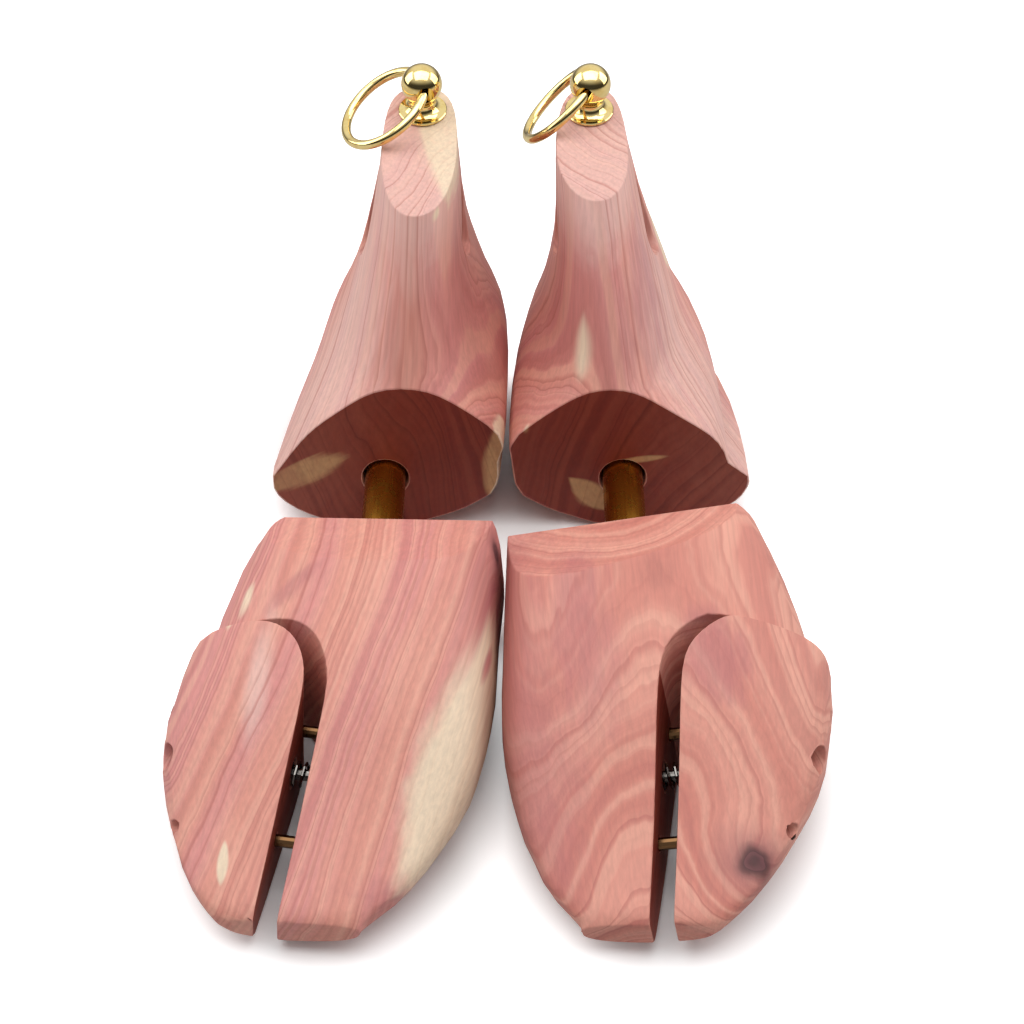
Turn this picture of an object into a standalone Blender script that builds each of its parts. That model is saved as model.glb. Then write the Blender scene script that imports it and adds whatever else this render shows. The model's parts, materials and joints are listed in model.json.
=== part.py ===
"""A pair of cedar shoe trees, built from the pieces that a maker would put together.

In each tree a brass tube, fixed in the toe block, slides in a bore of the heel block against a coil
spring. A hooked saw cut parts a side wedge from the toe block. A small spring between two guide pins
pushes the wedge outwards, and a screw in a counterbore stops it. A turned brass knob on the heel
block's neck carries a closed pull ring in a cross hole, and a finger slot runs through the neck.

Metres, +Z up. The toes point to -Y and the two medial sides face each other across X = 0. The origin
is the bottom centre of the pair. Everything is written for the right tree, whose lateral side is +X,
and the left tree is its mirror image. The toe blocks lie turned and rolled a little about their tubes.
"""

import math
from typing import NamedTuple

import bmesh
import bpy
from mathutils import Euler, Matrix, Vector

# Clearances
TOUCH_GAP = 0.0003  # between two pieces that touch
OVERRUN = 0.006  # how far a cutter passes the wood that it cuts
MEDIAL_GAP = 0.0012  # from the middle plane of the pair to a heel block

# Heel block
HEEL_LENGTH = 0.085  # front face to the back of the heel
HEEL_WIDTH = 0.0735
HEEL_HEIGHT = 0.116  # top of the neck before its facet is cut
NECK_OFFSET = 0.0258  # centre line of the neck from the pair's middle plane
RIGHT_NECK_SHIFT = 0.0065  # how much further out the right neck's lower part lies at its back
RIGHT_NECK_TRIM = 0.0095  # how much further back the front of the right neck lies at its top
FACET_LENGTH = 0.056  # along the block, up to the back of the neck
FACET_FRONT_HEIGHT = 0.1025
FACET_RISE = math.radians(10.5)

# Finger slot through the neck, a teardrop with its point upwards
SLOT_ROUND_RADIUS = 0.0064
SLOT_LENGTH = 0.0285
SLOT_LOW_Y = 0.0465  # centre of the round end
SLOT_LOW_HEIGHT = 0.080
SLOT_LEAN = math.radians(33)  # from upright, its point towards the back

# Tube, its bore in the heel block, and the spring behind it
TUBE_RADIUS = 0.00635
TUBE_WALL = 0.0009
TUBE_MEDIAL_SHARE = 0.44  # of TOE_WIDTH, from the tube's axis to the toe block's medial side
LEFT_TOE_GAP = 0.0012  # from there to the pair's middle plane
RIGHT_TOE_GAP = 0.0
TUBE_HEIGHT = 0.020  # axis above the floor
TUBE_IN_HEEL = 0.034
TUBE_IN_TOE = 0.040
TOE_SPACING = 0.045  # heel face to the back of the toe block
TUBE_TRAVEL = 0.022  # how far the toe block can be pushed in
HEEL_BORE_CLEARANCE = 0.0009
HEEL_BORE_DEPTH = 0.072
TUBE_SPRING_RADIUS = 0.0060
TUBE_SPRING_WIRE = 0.0012
TUBE_SPRING_CURLS = 8
SEAT_FLANGE = 0.0018
SEAT_SPIGOT = 0.0036

# Cross pins that hold the tube
CROSS_PIN_RADIUS = 0.0015
STOP_PIN_Y = 0.027
STOP_PIN_TOP = 0.033
TUBE_PIN_SETBACK = 0.015  # from the back of the toe block
TUBE_PIN_TOP = 0.032
CROSS_PIN_RECESS = 0.0014
TUBE_SLOT_CLEARANCE = 0.0004

# Toe block
TOE_LENGTH = 0.1225
TOE_WIDTH = 0.0832
TOE_HEIGHT = 0.0535
TOE_SOLE_RISE = 0.0008
BEVEL_REAR_HEIGHT = 0.0425
BEVEL_SLOPE = math.radians(18)

# Hooked cut that parts the wedge, measured in a frame that leans with the cut
LEFT_CUT_OFFSET = 0.0026  # from the tube's axis, at the back of the toe block
RIGHT_CUT_OFFSET = 0.0184
CUT_KERF = 0.0012
CUT_LEAN = math.radians(7.5)
LEFT_HOOK_REAR = 0.0455  # from the back of the toe block
RIGHT_HOOK_REAR = 0.042
HOOK_WIDTH = 0.0175
HOOK_LENGTH = 0.022
WEDGE_TRAVEL = 0.005

# Guide pins, spring and stop screw between toe block and wedge
CUT_HEIGHT = 0.014  # of the origin of the cut's frame
GUIDE_PIN_RADIUS = 0.0017
GUIDE_PIN_SEAT = 0.018
GUIDE_PIN_REACH = 0.024
REAR_PIN_SETBACK = 0.062  # where its axis crosses the cut, from the back of the toe block
REAR_PIN_RISE = 0.0035  # and from the origin of the cut's frame
SCREW_SETBACK = 0.077
SCREW_RISE = 0.003
FRONT_PIN_SETBACK = 0.097
FRONT_PIN_RISE = -0.001
WEDGE_SPRING_RADIUS = 0.0036
WEDGE_SPRING_WIRE = 0.0008
WEDGE_SPRING_CURLS = 7
SPRING_POCKET_CLEARANCE = 0.0005
SPRING_POCKET_DEPTH = 0.005
SCREW_SHANK_RADIUS = 0.0016
SCREW_THREAD_DEPTH = 0.013
SCREW_HEAD_RADIUS = 0.0032
SCREW_HEAD_HEIGHT = 0.0024
SCREW_SLOT_WIDTH = 0.0008
SCREW_SLOT_DEPTH = 0.0010
COUNTERBORE_RADIUS = 0.0038
COUNTERBORE_FLOOR = 0.016  # from the cut to the seat of the screw's head

# Knob, its screw and the pull ring
KNOB_SETBACK = 0.0455  # from the front of the facet, along it
KNOB_BASE_RADIUS = 0.0075
KNOB_BASE_RIM = 0.0009
KNOB_WAIST_RADIUS = 0.0037
KNOB_WAIST_HEIGHT = 0.0045
BALL_RADIUS = 0.0063
BALL_HEIGHT = 0.0107  # centre above the facet
RING_HOLE_RADIUS = 0.0028
RING_MEAN_RADIUS = 0.0145
RING_WIRE_RADIUS = 0.0015
RING_SLACK = 0.0007  # the ring lies this far off the middle of its hole
KNOB_SCREW_RADIUS = 0.0020
KNOB_SCREW_IN_WOOD = 0.0120
KNOB_SCREW_IN_KNOB = 0.0036

# How finely round shapes are divided
AROUND_BLOCK = 36
HEEL_RINGS = 22
TOE_RINGS = 22
AROUND_TUBE = 28
AROUND_PIN = 12
AROUND_SCREW = 16
AROUND_KNOB = 24
COVE_STEPS = 5
BALL_STEPS = 10
AROUND_RING = 32
AROUND_WIRE = 8
POINTS_PER_CURL = 8
HOOK_STEPS = 10

# Heel block outlines from the sole up. Each row gives its height as a share of HEEL_HEIGHT, the medial
# and the lateral half width, how much more of each the right tree has and the left tree lacks, the front
# centre and the back centre as shares of HEEL_WIDTH, and the widest place, the front end and the back
# end as shares of HEEL_LENGTH. A front end below 0 lies ahead of the flat front face.
HEEL_LEVEL_SHARES = (
    (0.000, 0.270, 0.365, 0.000, 0.015, 0.500, 0.415, 0.30, 0.020, 0.780),
    (0.012, 0.352, 0.444, 0.000, 0.012, 0.520, 0.415, 0.30, -0.030, 0.860),
    (0.038, 0.425, 0.480, 0.000, 0.015, 0.530, 0.415, 0.28, -0.060, 0.910),
    (0.070, 0.466, 0.486, 0.000, 0.020, 0.525, 0.412, 0.20, -0.130, 0.950),
    (0.105, 0.484, 0.499, 0.000, 0.020, 0.515, 0.410, 0.12, -0.190, 0.980),
    (0.140, 0.492, 0.502, 0.000, 0.020, 0.510, 0.410, 0.08, -0.250, 0.995),
    (0.180, 0.494, 0.499, 0.000, 0.020, 0.505, 0.410, 0.05, -0.300, 1.000),
    (0.235, 0.467, 0.447, 0.005, 0.000, 0.475, 0.405, 0.10, -0.900, 1.000),
    (0.290, 0.451, 0.449, -0.004, 0.022, 0.440, 0.400, 0.20, -0.900, 0.995),
    (0.345, 0.421, 0.399, -0.013, -0.002, 0.433, 0.385, 0.45, -0.417, 0.987),
    (0.400, 0.385, 0.360, -0.019, -0.001, 0.425, 0.372, 0.53, -0.200, 0.978),
    (0.445, 0.347, 0.332, -0.023, -0.018, 0.420, 0.365, 0.56, -0.060, 0.970),
    (0.480, 0.319, 0.301, -0.022, -0.016, 0.418, 0.360, 0.57, 0.000, 0.966),
    (0.560, 0.262, 0.262, -0.014, 0.002, 0.405, 0.352, 0.59, 0.060, 0.960),
    (0.640, 0.218, 0.242, -0.008, -0.003, 0.390, 0.348, 0.59, 0.110, 0.955),
    (0.730, 0.186, 0.201, -0.010, 0.000, 0.375, 0.348, 0.60, 0.170, 0.950),
    (0.820, 0.171, 0.176, -0.011, 0.004, 0.362, 0.348, 0.61, 0.230, 0.945),
    (0.910, 0.163, 0.147, 0.000, -0.003, 0.354, 0.348, 0.62, 0.280, 0.942),
    (1.000, 0.150, 0.135, -0.015, -0.015, 0.352, 0.348, 0.64, 0.330, 0.940),
)
NECK_TOP_SHARE = 0.18  # of HEEL_WIDTH, half the neck's width at the facet
NECK_TRIM_POWER = 4  # more keeps the trim nearer the top
NECK_SHIFT_TOP_SHARE = 0.80  # of HEEL_HEIGHT, where a sideways shift of the neck ends
HEEL_FRONT_POWER = 2.15
HEEL_BACK_POWERS = (2.6, 2.7)  # at the sole and at the top of the neck

# Toe block sections from its back to its tip. Each row gives the place as a share of TOE_LENGTH, the
# medial and the lateral side, how much more of each the right tree has and the left tree lacks, and the
# crest as shares of TOE_WIDTH from the tube's axis, and the sole, the widest height and the top as
# shares of TOE_HEIGHT.
TOE_SECTION_SHARES = (
    (-0.08, -0.436, 0.340, -0.010, 0.050, -0.080, 0.000, 0.330, 1.050),
    (0.00, -0.440, 0.400, -0.010, 0.050, -0.080, 0.000, 0.330, 1.020),
    (0.05, -0.441, 0.445, -0.012, 0.040, -0.080, 0.000, 0.329, 1.008),
    (0.20, -0.442, 0.520, -0.016, 0.044, -0.080, 0.000, 0.325, 0.965),
    (0.36, -0.447, 0.558, -0.025, 0.055, -0.070, 0.000, 0.310, 0.855),
    (0.50, -0.441, 0.571, -0.023, 0.037, -0.055, 0.000, 0.295, 0.745),
    (0.62, -0.420, 0.549, -0.027, 0.022, -0.035, 0.000, 0.280, 0.620),
    (0.73, -0.372, 0.493, -0.020, 0.015, -0.010, 0.004, 0.265, 0.480),
    (0.83, -0.316, 0.423, -0.014, 0.004, 0.015, 0.015, 0.250, 0.385),
    (0.91, -0.249, 0.352, -0.010, -0.003, 0.030, 0.030, 0.235, 0.315),
    (0.96, -0.184, 0.289, -0.006, -0.008, 0.040, 0.045, 0.215, 0.275),
    (0.99, -0.145, 0.239, -0.003, -0.009, 0.045, 0.062, 0.185, 0.245),
    (1.00, -0.145, 0.202, 0.000, -0.001, 0.045, 0.085, 0.165, 0.220),
)
MEDIAL_CROWN_POWERS = (3.8, 2.3)  # at the back and at the tip
LATERAL_TIP_CROWN_POWER = 2.3
SOLE_POWERS = (3.2, 2.4)


class Tree(NamedTuple):
    """How one tree is sawn and how it lies. Turns are given as for the right tree."""

    name: str
    side: int  # of its lateral face along X
    neck_shift: float  # of the lower neck, sideways at its back
    neck_trim: float  # off the front of the neck, at its top
    toe_gap: float
    toe_swing: float  # of the toe block away from the other tree
    toe_lift: float  # of the toe block's lateral side
    cut_offset: float
    cut_turn: float  # of the hooked cut about the vertical
    pin_turn: float  # of the guide pins and the screw, towards the back from square to the cut
    hook_rear: float
    bevel_roll: float  # of the bevel that is sanded on the toe block's back
    lateral_crown_power: float  # at the toe block's back; more is squarer
    hole_turn: float  # of the knob's cross hole
    ring_rise: float  # of the ring's wire above the facet's plane, where it passes the neck's side
    ring_lean: float  # of the ring in its loose hole

    @property
    def tube_offset(self):
        """From the pair's middle plane to the tube's axis."""
        return TUBE_MEDIAL_SHARE * TOE_WIDTH + self.toe_gap

    @property
    def ring_drop(self):
        """How far the ring's far side lies below level, as an angle."""
        neck_half_width = NECK_TOP_SHARE * HEEL_WIDTH
        return math.atan2(self.ring_rise - BALL_HEIGHT, neck_half_width)


TREES = (
    Tree(
        "left", side=-1, neck_shift=0, neck_trim=0,
        toe_gap=LEFT_TOE_GAP, toe_swing=math.radians(5.5), toe_lift=math.radians(-3.5),
        cut_offset=LEFT_CUT_OFFSET, cut_turn=math.radians(3), pin_turn=math.radians(-2.5),
        hook_rear=LEFT_HOOK_REAR, bevel_roll=0, lateral_crown_power=3.0,
        hole_turn=math.radians(-103), ring_rise=0.00275, ring_lean=math.radians(-6),
    ),
    Tree(
        "right", side=1, neck_shift=RIGHT_NECK_SHIFT, neck_trim=RIGHT_NECK_TRIM,
        toe_gap=RIGHT_TOE_GAP, toe_swing=math.radians(-3), toe_lift=math.radians(3.5),
        cut_offset=RIGHT_CUT_OFFSET, cut_turn=math.radians(-6), pin_turn=math.radians(7),
        hook_rear=RIGHT_HOOK_REAR, bevel_roll=math.radians(10), lateral_crown_power=3.8,
        hole_turn=math.radians(71), ring_rise=-0.0038, ring_lean=0,
    ),
)


def smooth_rows(rows, count):
    """Rows spaced evenly along a smooth curve through the given rows."""
    last = len(rows) - 1
    found = []
    for step in range(count):
        place = last * step / (count - 1)
        start = min(int(place), last - 1)
        part = place - start
        before, first, second, after = (rows[min(max(start + k, 0), last)] for k in (-1, 0, 1, 2))
        found.append([
            0.5 * (2 * b + (c - a) * part + (2 * a - 5 * b + 4 * c - d) * part**2
                   + (3 * b - a - 3 * c + d) * part**3)
            for a, b, c, d in zip(before, first, second, after)
        ])
    return found


def rounded(angle, power):
    """The cosine of a squared-off circle: power 2 is a circle, and more is squarer."""
    value = math.cos(angle)
    return math.copysign(abs(value) ** (2 / power), value)


def blend(pair, share):
    return pair[0] + (pair[1] - pair[0]) * share


def heel_ring(row, tree):
    height, medial, lateral, more_medial, more_lateral, front_centre, back_centre, *lie = row
    widest, front, back = lie
    medial += tree.side * more_medial
    lateral += tree.side * more_lateral
    power = blend(HEEL_BACK_POWERS, height)
    rise = min(height / NECK_SHIFT_TOP_SHARE, 1)
    back_shift = tree.neck_shift * math.sin(math.pi * rise)
    front += tree.neck_trim / HEEL_LENGTH * height**NECK_TRIM_POWER
    points = []
    for step in range(AROUND_BLOCK):
        angle = 2 * math.pi * step / AROUND_BLOCK
        ahead = math.sin(angle) < 0
        used = HEEL_FRONT_POWER if ahead else power
        reach = (widest - front) if ahead else (back - widest)
        y = HEEL_LENGTH * (widest + reach * rounded(angle - math.pi / 2, used))
        centre = blend((front_centre, back_centre), y / HEEL_LENGTH)
        half_width = lateral if math.cos(angle) > 0 else medial
        x = MEDIAL_GAP + HEEL_WIDTH * (centre + half_width * rounded(angle, used))
        x += back_shift * y / HEEL_LENGTH
        points.append(Vector((x, y, HEEL_HEIGHT * height)))
    return points


def toe_ring(row, tree):
    along, medial, lateral, more_medial, more_lateral, crest, sole, widest, top = row
    medial -= tree.side * more_medial
    lateral += tree.side * more_lateral
    share = min(max(along, 0), 1)
    lateral_crown_powers = (tree.lateral_crown_power, LATERAL_TIP_CROWN_POWER)
    points = []
    for step in range(AROUND_BLOCK):
        angle = 2 * math.pi * step / AROUND_BLOCK
        above = math.sin(angle) > 0
        side = lateral if math.cos(angle) > 0 else medial
        crown = lateral_crown_powers if math.cos(angle) > 0 else MEDIAL_CROWN_POWERS
        power = blend(crown if above else SOLE_POWERS, share)
        x = crest + abs(side - crest) * rounded(angle, power)
        z = widest + abs((top if above else sole) - widest) * rounded(angle - math.pi / 2, power)
        height = TOE_SOLE_RISE + TOE_HEIGHT * z - TUBE_HEIGHT
        points.append(Vector((TOE_WIDTH * x, -TOE_LENGTH * along, height)))
    return points


def loft(rings):
    """A closed skin over rings that each have the same number of points."""
    bm = bmesh.new()
    rows = [[bm.verts.new(point) for point in ring] for ring in rings]
    for low, high in zip(rows, rows[1:]):
        for a, b, c, d in zip(low, low[1:] + low[:1], high[1:] + high[:1], high):
            bm.faces.new((a, b, c, d))
    bm.faces.new(rows[0])
    bm.faces.new(rows[-1])
    bmesh.ops.recalc_face_normals(bm, faces=bm.faces)
    return bm


def slice_off(bm, point, outward):
    """Removes what lies beyond a plane and closes the cut with a flat face."""
    everything = bm.verts[:] + bm.edges[:] + bm.faces[:]
    cut = bmesh.ops.bisect_plane(
        bm, geom=everything, plane_co=point, plane_no=outward, dist=TOUCH_GAP / 100, clear_outer=True
    )
    edges = [item for item in cut["geom_cut"] if isinstance(item, bmesh.types.BMEdge)]
    bmesh.ops.edgeloop_fill(bm, edges=edges)
    bmesh.ops.recalc_face_normals(bm, faces=bm.faces)


def turned(outline, steps):
    """Turns an outline of (radius, height) points about Z. It may start and end on the axis."""
    bm = bmesh.new()
    verts = [bm.verts.new((radius, 0, height)) for radius, height in outline]
    on_axis = outline[0][0] == 0 and outline[-1][0] == 0
    ends = verts[1:] if on_axis else verts[1:] + verts[:1]
    edges = [bm.edges.new(pair) for pair in zip(verts, ends)]
    bmesh.ops.spin(
        bm, geom=verts + edges, cent=(0, 0, 0), axis=(0, 0, 1), angle=2 * math.pi, steps=steps,
        use_merge=True,
    )
    bmesh.ops.remove_doubles(bm, verts=bm.verts, dist=TOUCH_GAP / 100)
    bmesh.ops.recalc_face_normals(bm, faces=bm.faces)
    return bm


def rod(radius, low, high, steps=AROUND_PIN):
    """A round bar along Z between two heights."""
    return turned([(0, low), (radius, low), (radius, high), (0, high)], steps)


def prism(outline, low, high):
    """An outline of (x, y) points, drawn up between two heights."""
    bm = bmesh.new()
    base = bm.faces.new([bm.verts.new((x, y, low)) for x, y in outline])
    raised = bmesh.ops.extrude_face_region(bm, geom=[base])
    verts = [item for item in raised["geom"] if isinstance(item, bmesh.types.BMVert)]
    bmesh.ops.translate(bm, verts=verts, vec=(0, 0, high - low))
    bmesh.ops.recalc_face_normals(bm, faces=bm.faces)
    return bm


def material(name, colour, metallic, roughness):
    made = bpy.data.materials.new(name)
    made.use_nodes = True
    shader = made.node_tree.nodes["Principled BSDF"]
    shader.inputs["Base Color"].default_value = (*colour, 1)
    shader.inputs["Metallic"].default_value = metallic
    shader.inputs["Roughness"].default_value = roughness
    return made


def empty(name, parent=None):
    made = bpy.data.objects.new(name, None)
    made.empty_display_size = TUBE_RADIUS
    made.parent = parent
    bpy.context.collection.objects.link(made)
    return made


def place(made, side, at, turn=(0, 0, 0)):
    """Sets a place and a turn that are given for the right tree, mirrored for the left one."""
    made.location = (side * at[0], at[1], at[2])
    made.rotation_euler = (turn[0], side * turn[1], side * turn[2])


def solid(name, bm, side, parent, finish, smooth_angle=math.radians(35)):
    """Makes an object of a shape that is given for the right tree."""
    if side < 0:
        bmesh.ops.scale(bm, vec=(-1, 1, 1), verts=bm.verts)
        bmesh.ops.reverse_faces(bm, faces=bm.faces)
    mesh = bpy.data.meshes.new(name)
    bm.to_mesh(mesh)
    bm.free()
    mesh.shade_smooth()
    mesh.set_sharp_from_angle(angle=smooth_angle)
    if finish:
        mesh.materials.append(finish)
    made = bpy.data.objects.new(name, mesh)
    made.parent = parent
    bpy.context.collection.objects.link(made)
    return made


def cut(piece, name, bm, side, parent, at=(0, 0, 0), turn=(0, 0, 0), operation="DIFFERENCE"):
    """Cuts a hidden shape out of a piece, or keeps only what lies inside it."""
    cutter = solid(piece.name + "_" + name, bm, side, parent, None)
    place(cutter, side, at, turn)
    cutter.hide_render = True
    cutter.display_type = "WIRE"
    modifier = piece.modifiers.new(name, "BOOLEAN")
    modifier.operation = operation
    modifier.object = cutter
    return cutter


ALONG_X = (0, math.pi / 2, 0)  # turns a bar along Z so that it points to +X
ALONG_Y = (-math.pi / 2, 0, 0)  # and to +Y


def coil(name, radius, wire, curls, length, side, parent, finish):
    """One unbroken round wire, wound about Z from 0 to the length, with its ends left straight."""
    mean = radius - wire / 2
    steps = curls * POINTS_PER_CURL
    points = []
    for step in range(steps + 1):
        angle = 2 * math.pi * step / POINTS_PER_CURL
        height = wire / 2 + (length - wire) * step / steps
        points.append(Vector((side * mean * math.cos(angle), mean * math.sin(angle), height)))
    start = points[0] + (points[0] - points[1]).normalized() * wire
    end = points[-1] + (points[-1] - points[-2]).normalized() * wire
    start.z = points[0].z
    end.z = points[-1].z
    points = [start, *points, end]
    gaps = [
        (first - second).length
        for place_of, first in enumerate(points)
        for second in points[place_of + POINTS_PER_CURL // 2:]
    ]
    print(f"{name}: least gap to itself {1000 * (min(gaps) - wire):.2f} mm")
    curve = bpy.data.curves.new(name, "CURVE")
    curve.dimensions = "3D"
    curve.bevel_depth = wire / 2
    curve.bevel_resolution = 1
    curve.use_fill_caps = True
    spline = curve.splines.new("POLY")
    spline.points.add(len(points) - 1)
    for target, point in zip(spline.points, points):
        target.co = (*point, 1)
    curve.materials.append(finish)
    made = bpy.data.objects.new(name, curve)
    made.parent = parent
    bpy.context.collection.objects.link(made)
    return made


def capsule(half_width, low, high):
    """A long slot's outline along Y, with round ends."""
    points = []
    for centre, start in ((high - half_width, 0), (low + half_width, math.pi)):
        for step in range(AROUND_PIN // 2 + 1):
            angle = start + 2 * math.pi * step / AROUND_PIN
            points.append((half_width * math.cos(angle), centre + half_width * math.sin(angle)))
    return points


def teardrop(radius, length):
    """A round end about the origin, drawn out to a point along +Y."""
    tip = length - radius
    spread = math.acos(radius / tip)
    first = math.pi / 2 + spread
    sweep = 2 * (math.pi - spread)
    points = [(0, tip)]
    for step in range(AROUND_TUBE // 2 + 1):
        angle = first + sweep * step / (AROUND_TUBE // 2)
        points.append((radius * math.cos(angle), radius * math.sin(angle)))
    return points


def facet_point(along=0):
    """A point on the middle of the facet, at a distance from its front."""
    y = HEEL_LENGTH * HEEL_LEVEL_SHARES[-1][-1] - FACET_LENGTH
    run = along * math.cos(FACET_RISE)
    return Vector((NECK_OFFSET, y + run, FACET_FRONT_HEIGHT + along * math.sin(FACET_RISE)))


def heel_block(tree, frame, knob_frame, cedar):
    rows = smooth_rows(HEEL_LEVEL_SHARES, HEEL_RINGS)
    bm = loft([heel_ring(row, tree) for row in rows])
    slice_off(bm, (0, 0, 0), (0, -1, 0))
    slice_off(bm, facet_point(), (0, -math.sin(FACET_RISE), math.cos(FACET_RISE)))
    block = solid(tree.name + "_heel_block", bm, tree.side, frame, cedar)
    bore = rod(TUBE_RADIUS + HEEL_BORE_CLEARANCE, -OVERRUN, HEEL_BORE_DEPTH, AROUND_TUBE)
    cut(block, "bore", bore, tree.side, frame, (tree.tube_offset, 0, TUBE_HEIGHT), ALONG_Y)
    slot = prism(teardrop(SLOT_ROUND_RADIUS, SLOT_LENGTH), -HEEL_WIDTH, HEEL_WIDTH)
    bmesh.ops.rotate(slot, verts=slot.verts, matrix=Matrix.Rotation(-SLOT_LEAN, 3, "Z"))
    across = Matrix(((0, 0, 1), (1, 0, 0), (0, 1, 0)))
    bmesh.ops.rotate(slot, verts=slot.verts, matrix=across)
    cut(block, "finger_slot", slot, tree.side, frame, (NECK_OFFSET, SLOT_LOW_Y, SLOT_LOW_HEIGHT))
    pin_hole = rod(CROSS_PIN_RADIUS + TOUCH_GAP, -OVERRUN, STOP_PIN_TOP + TOUCH_GAP)
    cut(block, "pin_hole", pin_hole, tree.side, frame, (tree.tube_offset, STOP_PIN_Y, 0))
    screw_hole = rod(KNOB_SCREW_RADIUS + TOUCH_GAP, -KNOB_SCREW_IN_WOOD - TOUCH_GAP, OVERRUN)
    cut(block, "screw_hole", screw_hole, tree.side, knob_frame)
    return block


def toe_form(tree):
    """The whole toe block before the wedge is parted from it, about the tube's entry."""
    bm = loft([toe_ring(row, tree) for row in smooth_rows(TOE_SECTION_SHARES, TOE_RINGS)])
    slice_off(bm, (0, 0, 0), (0, 1, 0))
    return bm


def bevel_back(bm, roll):
    """Sands the flat bevel on the top of the block's back edge."""
    outward = Vector((0, math.sin(BEVEL_SLOPE), math.cos(BEVEL_SLOPE)))
    outward.rotate(Matrix.Rotation(-roll, 3, "Y"))
    slice_off(bm, (0, 0, BEVEL_REAR_HEIGHT - TUBE_HEIGHT), outward)


def wedge_outline(hook_rear, inset):
    """What lies beyond the hooked cut, seen along it, drawn in by an inset."""
    far = TOE_WIDTH + OVERRUN
    front = -TOE_LENGTH - OVERRUN
    bend = -hook_rear - HOOK_LENGTH
    points = [(inset, front)]
    for step in range(HOOK_STEPS + 1):
        angle = math.pi / 2 * step / HOOK_STEPS
        x = HOOK_WIDTH - (HOOK_WIDTH - inset) * math.cos(angle)
        points.append((x, bend + (HOOK_LENGTH - inset) * math.sin(angle)))
    return points + [(far, -hook_rear - inset), (far, front)]


def cut_frame_lie(tree):
    """The place and the turn of the hooked cut in the toe block's frame."""
    at = Vector((tree.cut_offset, 0, CUT_HEIGHT - TUBE_HEIGHT))
    return at, (0, -CUT_LEAN, tree.cut_turn)


def on_axis(tree, setback, rise, along=0):
    """A place along a pin or the screw, and the turn that it lies at, in the cut's frame."""
    at = (along * math.cos(tree.pin_turn), along * math.sin(tree.pin_turn) - setback, rise)
    return at, (0, math.pi / 2, tree.pin_turn)


def hole_lies(tree):
    """The lies of the rear pin, the screw and the front pin, in the cut's frame."""
    rear = on_axis(tree, REAR_PIN_SETBACK, REAR_PIN_RISE)
    screw = on_axis(tree, SCREW_SETBACK, SCREW_RISE)
    front = on_axis(tree, FRONT_PIN_SETBACK, FRONT_PIN_RISE)
    return rear, screw, front


def toe_block(tree, toe_frame, cut_frame, cedar):
    bm = toe_form(tree)
    bevel_back(bm, tree.bevel_roll)
    block = solid(tree.name + "_toe_block", bm, tree.side, toe_frame, cedar)
    beyond = prism(wedge_outline(tree.hook_rear, 0), -TOE_HEIGHT, TOE_HEIGHT)
    cut(block, "hooked_cut", beyond, tree.side, cut_frame)
    rear, screw, front = hole_lies(tree)
    for label, lie, radius, depth in (
        ("rear_pin_hole", rear, GUIDE_PIN_RADIUS, GUIDE_PIN_SEAT),
        ("front_pin_hole", front, GUIDE_PIN_RADIUS, GUIDE_PIN_SEAT),
        ("screw_hole", screw, SCREW_SHANK_RADIUS, SPRING_POCKET_DEPTH + SCREW_THREAD_DEPTH),
    ):
        hole = rod(radius + TOUCH_GAP, -depth - TOUCH_GAP, OVERRUN)
        cut(block, label, hole, tree.side, cut_frame, *lie)
    pocket_radius = WEDGE_SPRING_RADIUS + SPRING_POCKET_CLEARANCE
    pocket = rod(pocket_radius, -SPRING_POCKET_DEPTH, OVERRUN, AROUND_TUBE)
    cut(block, "spring_pocket", pocket, tree.side, cut_frame, *screw)
    return block


def side_wedge(tree, slide, cedar):
    bm = toe_form(tree)
    at, turn = cut_frame_lie(tree)
    from_cut = Matrix.Translation(at) @ Euler(turn).to_matrix().to_4x4()
    bmesh.ops.transform(bm, matrix=from_cut.inverted(), verts=bm.verts)
    wedge = solid(tree.name + "_side_wedge", bm, tree.side, slide, cedar)
    inside = prism(wedge_outline(tree.hook_rear, CUT_KERF), -TOE_HEIGHT, TOE_HEIGHT)
    cut(wedge, "hooked_cut", inside, tree.side, slide, operation="INTERSECT")
    pin_hole_radius = GUIDE_PIN_RADIUS + TOUCH_GAP
    pocket_radius = WEDGE_SPRING_RADIUS + SPRING_POCKET_CLEARANCE
    pocket_floor = CUT_KERF + SPRING_POCKET_DEPTH
    rear, screw, front = hole_lies(tree)
    for label, lie, radius, low, high, steps in (
        ("rear_pin_hole", rear, pin_hole_radius, -OVERRUN, TOE_WIDTH, AROUND_PIN),
        ("front_pin_hole", front, pin_hole_radius, -OVERRUN, TOE_WIDTH, AROUND_PIN),
        ("screw_hole", screw, SCREW_SHANK_RADIUS + TOUCH_GAP, -OVERRUN, TOE_WIDTH, AROUND_PIN),
        ("counterbore", screw, COUNTERBORE_RADIUS, COUNTERBORE_FLOOR, TOE_WIDTH, AROUND_TUBE),
        ("spring_pocket", screw, pocket_radius, -OVERRUN, pocket_floor, AROUND_TUBE),
    ):
        cut(wedge, label, rod(radius, low, high, steps), tree.side, slide, *lie)


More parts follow.
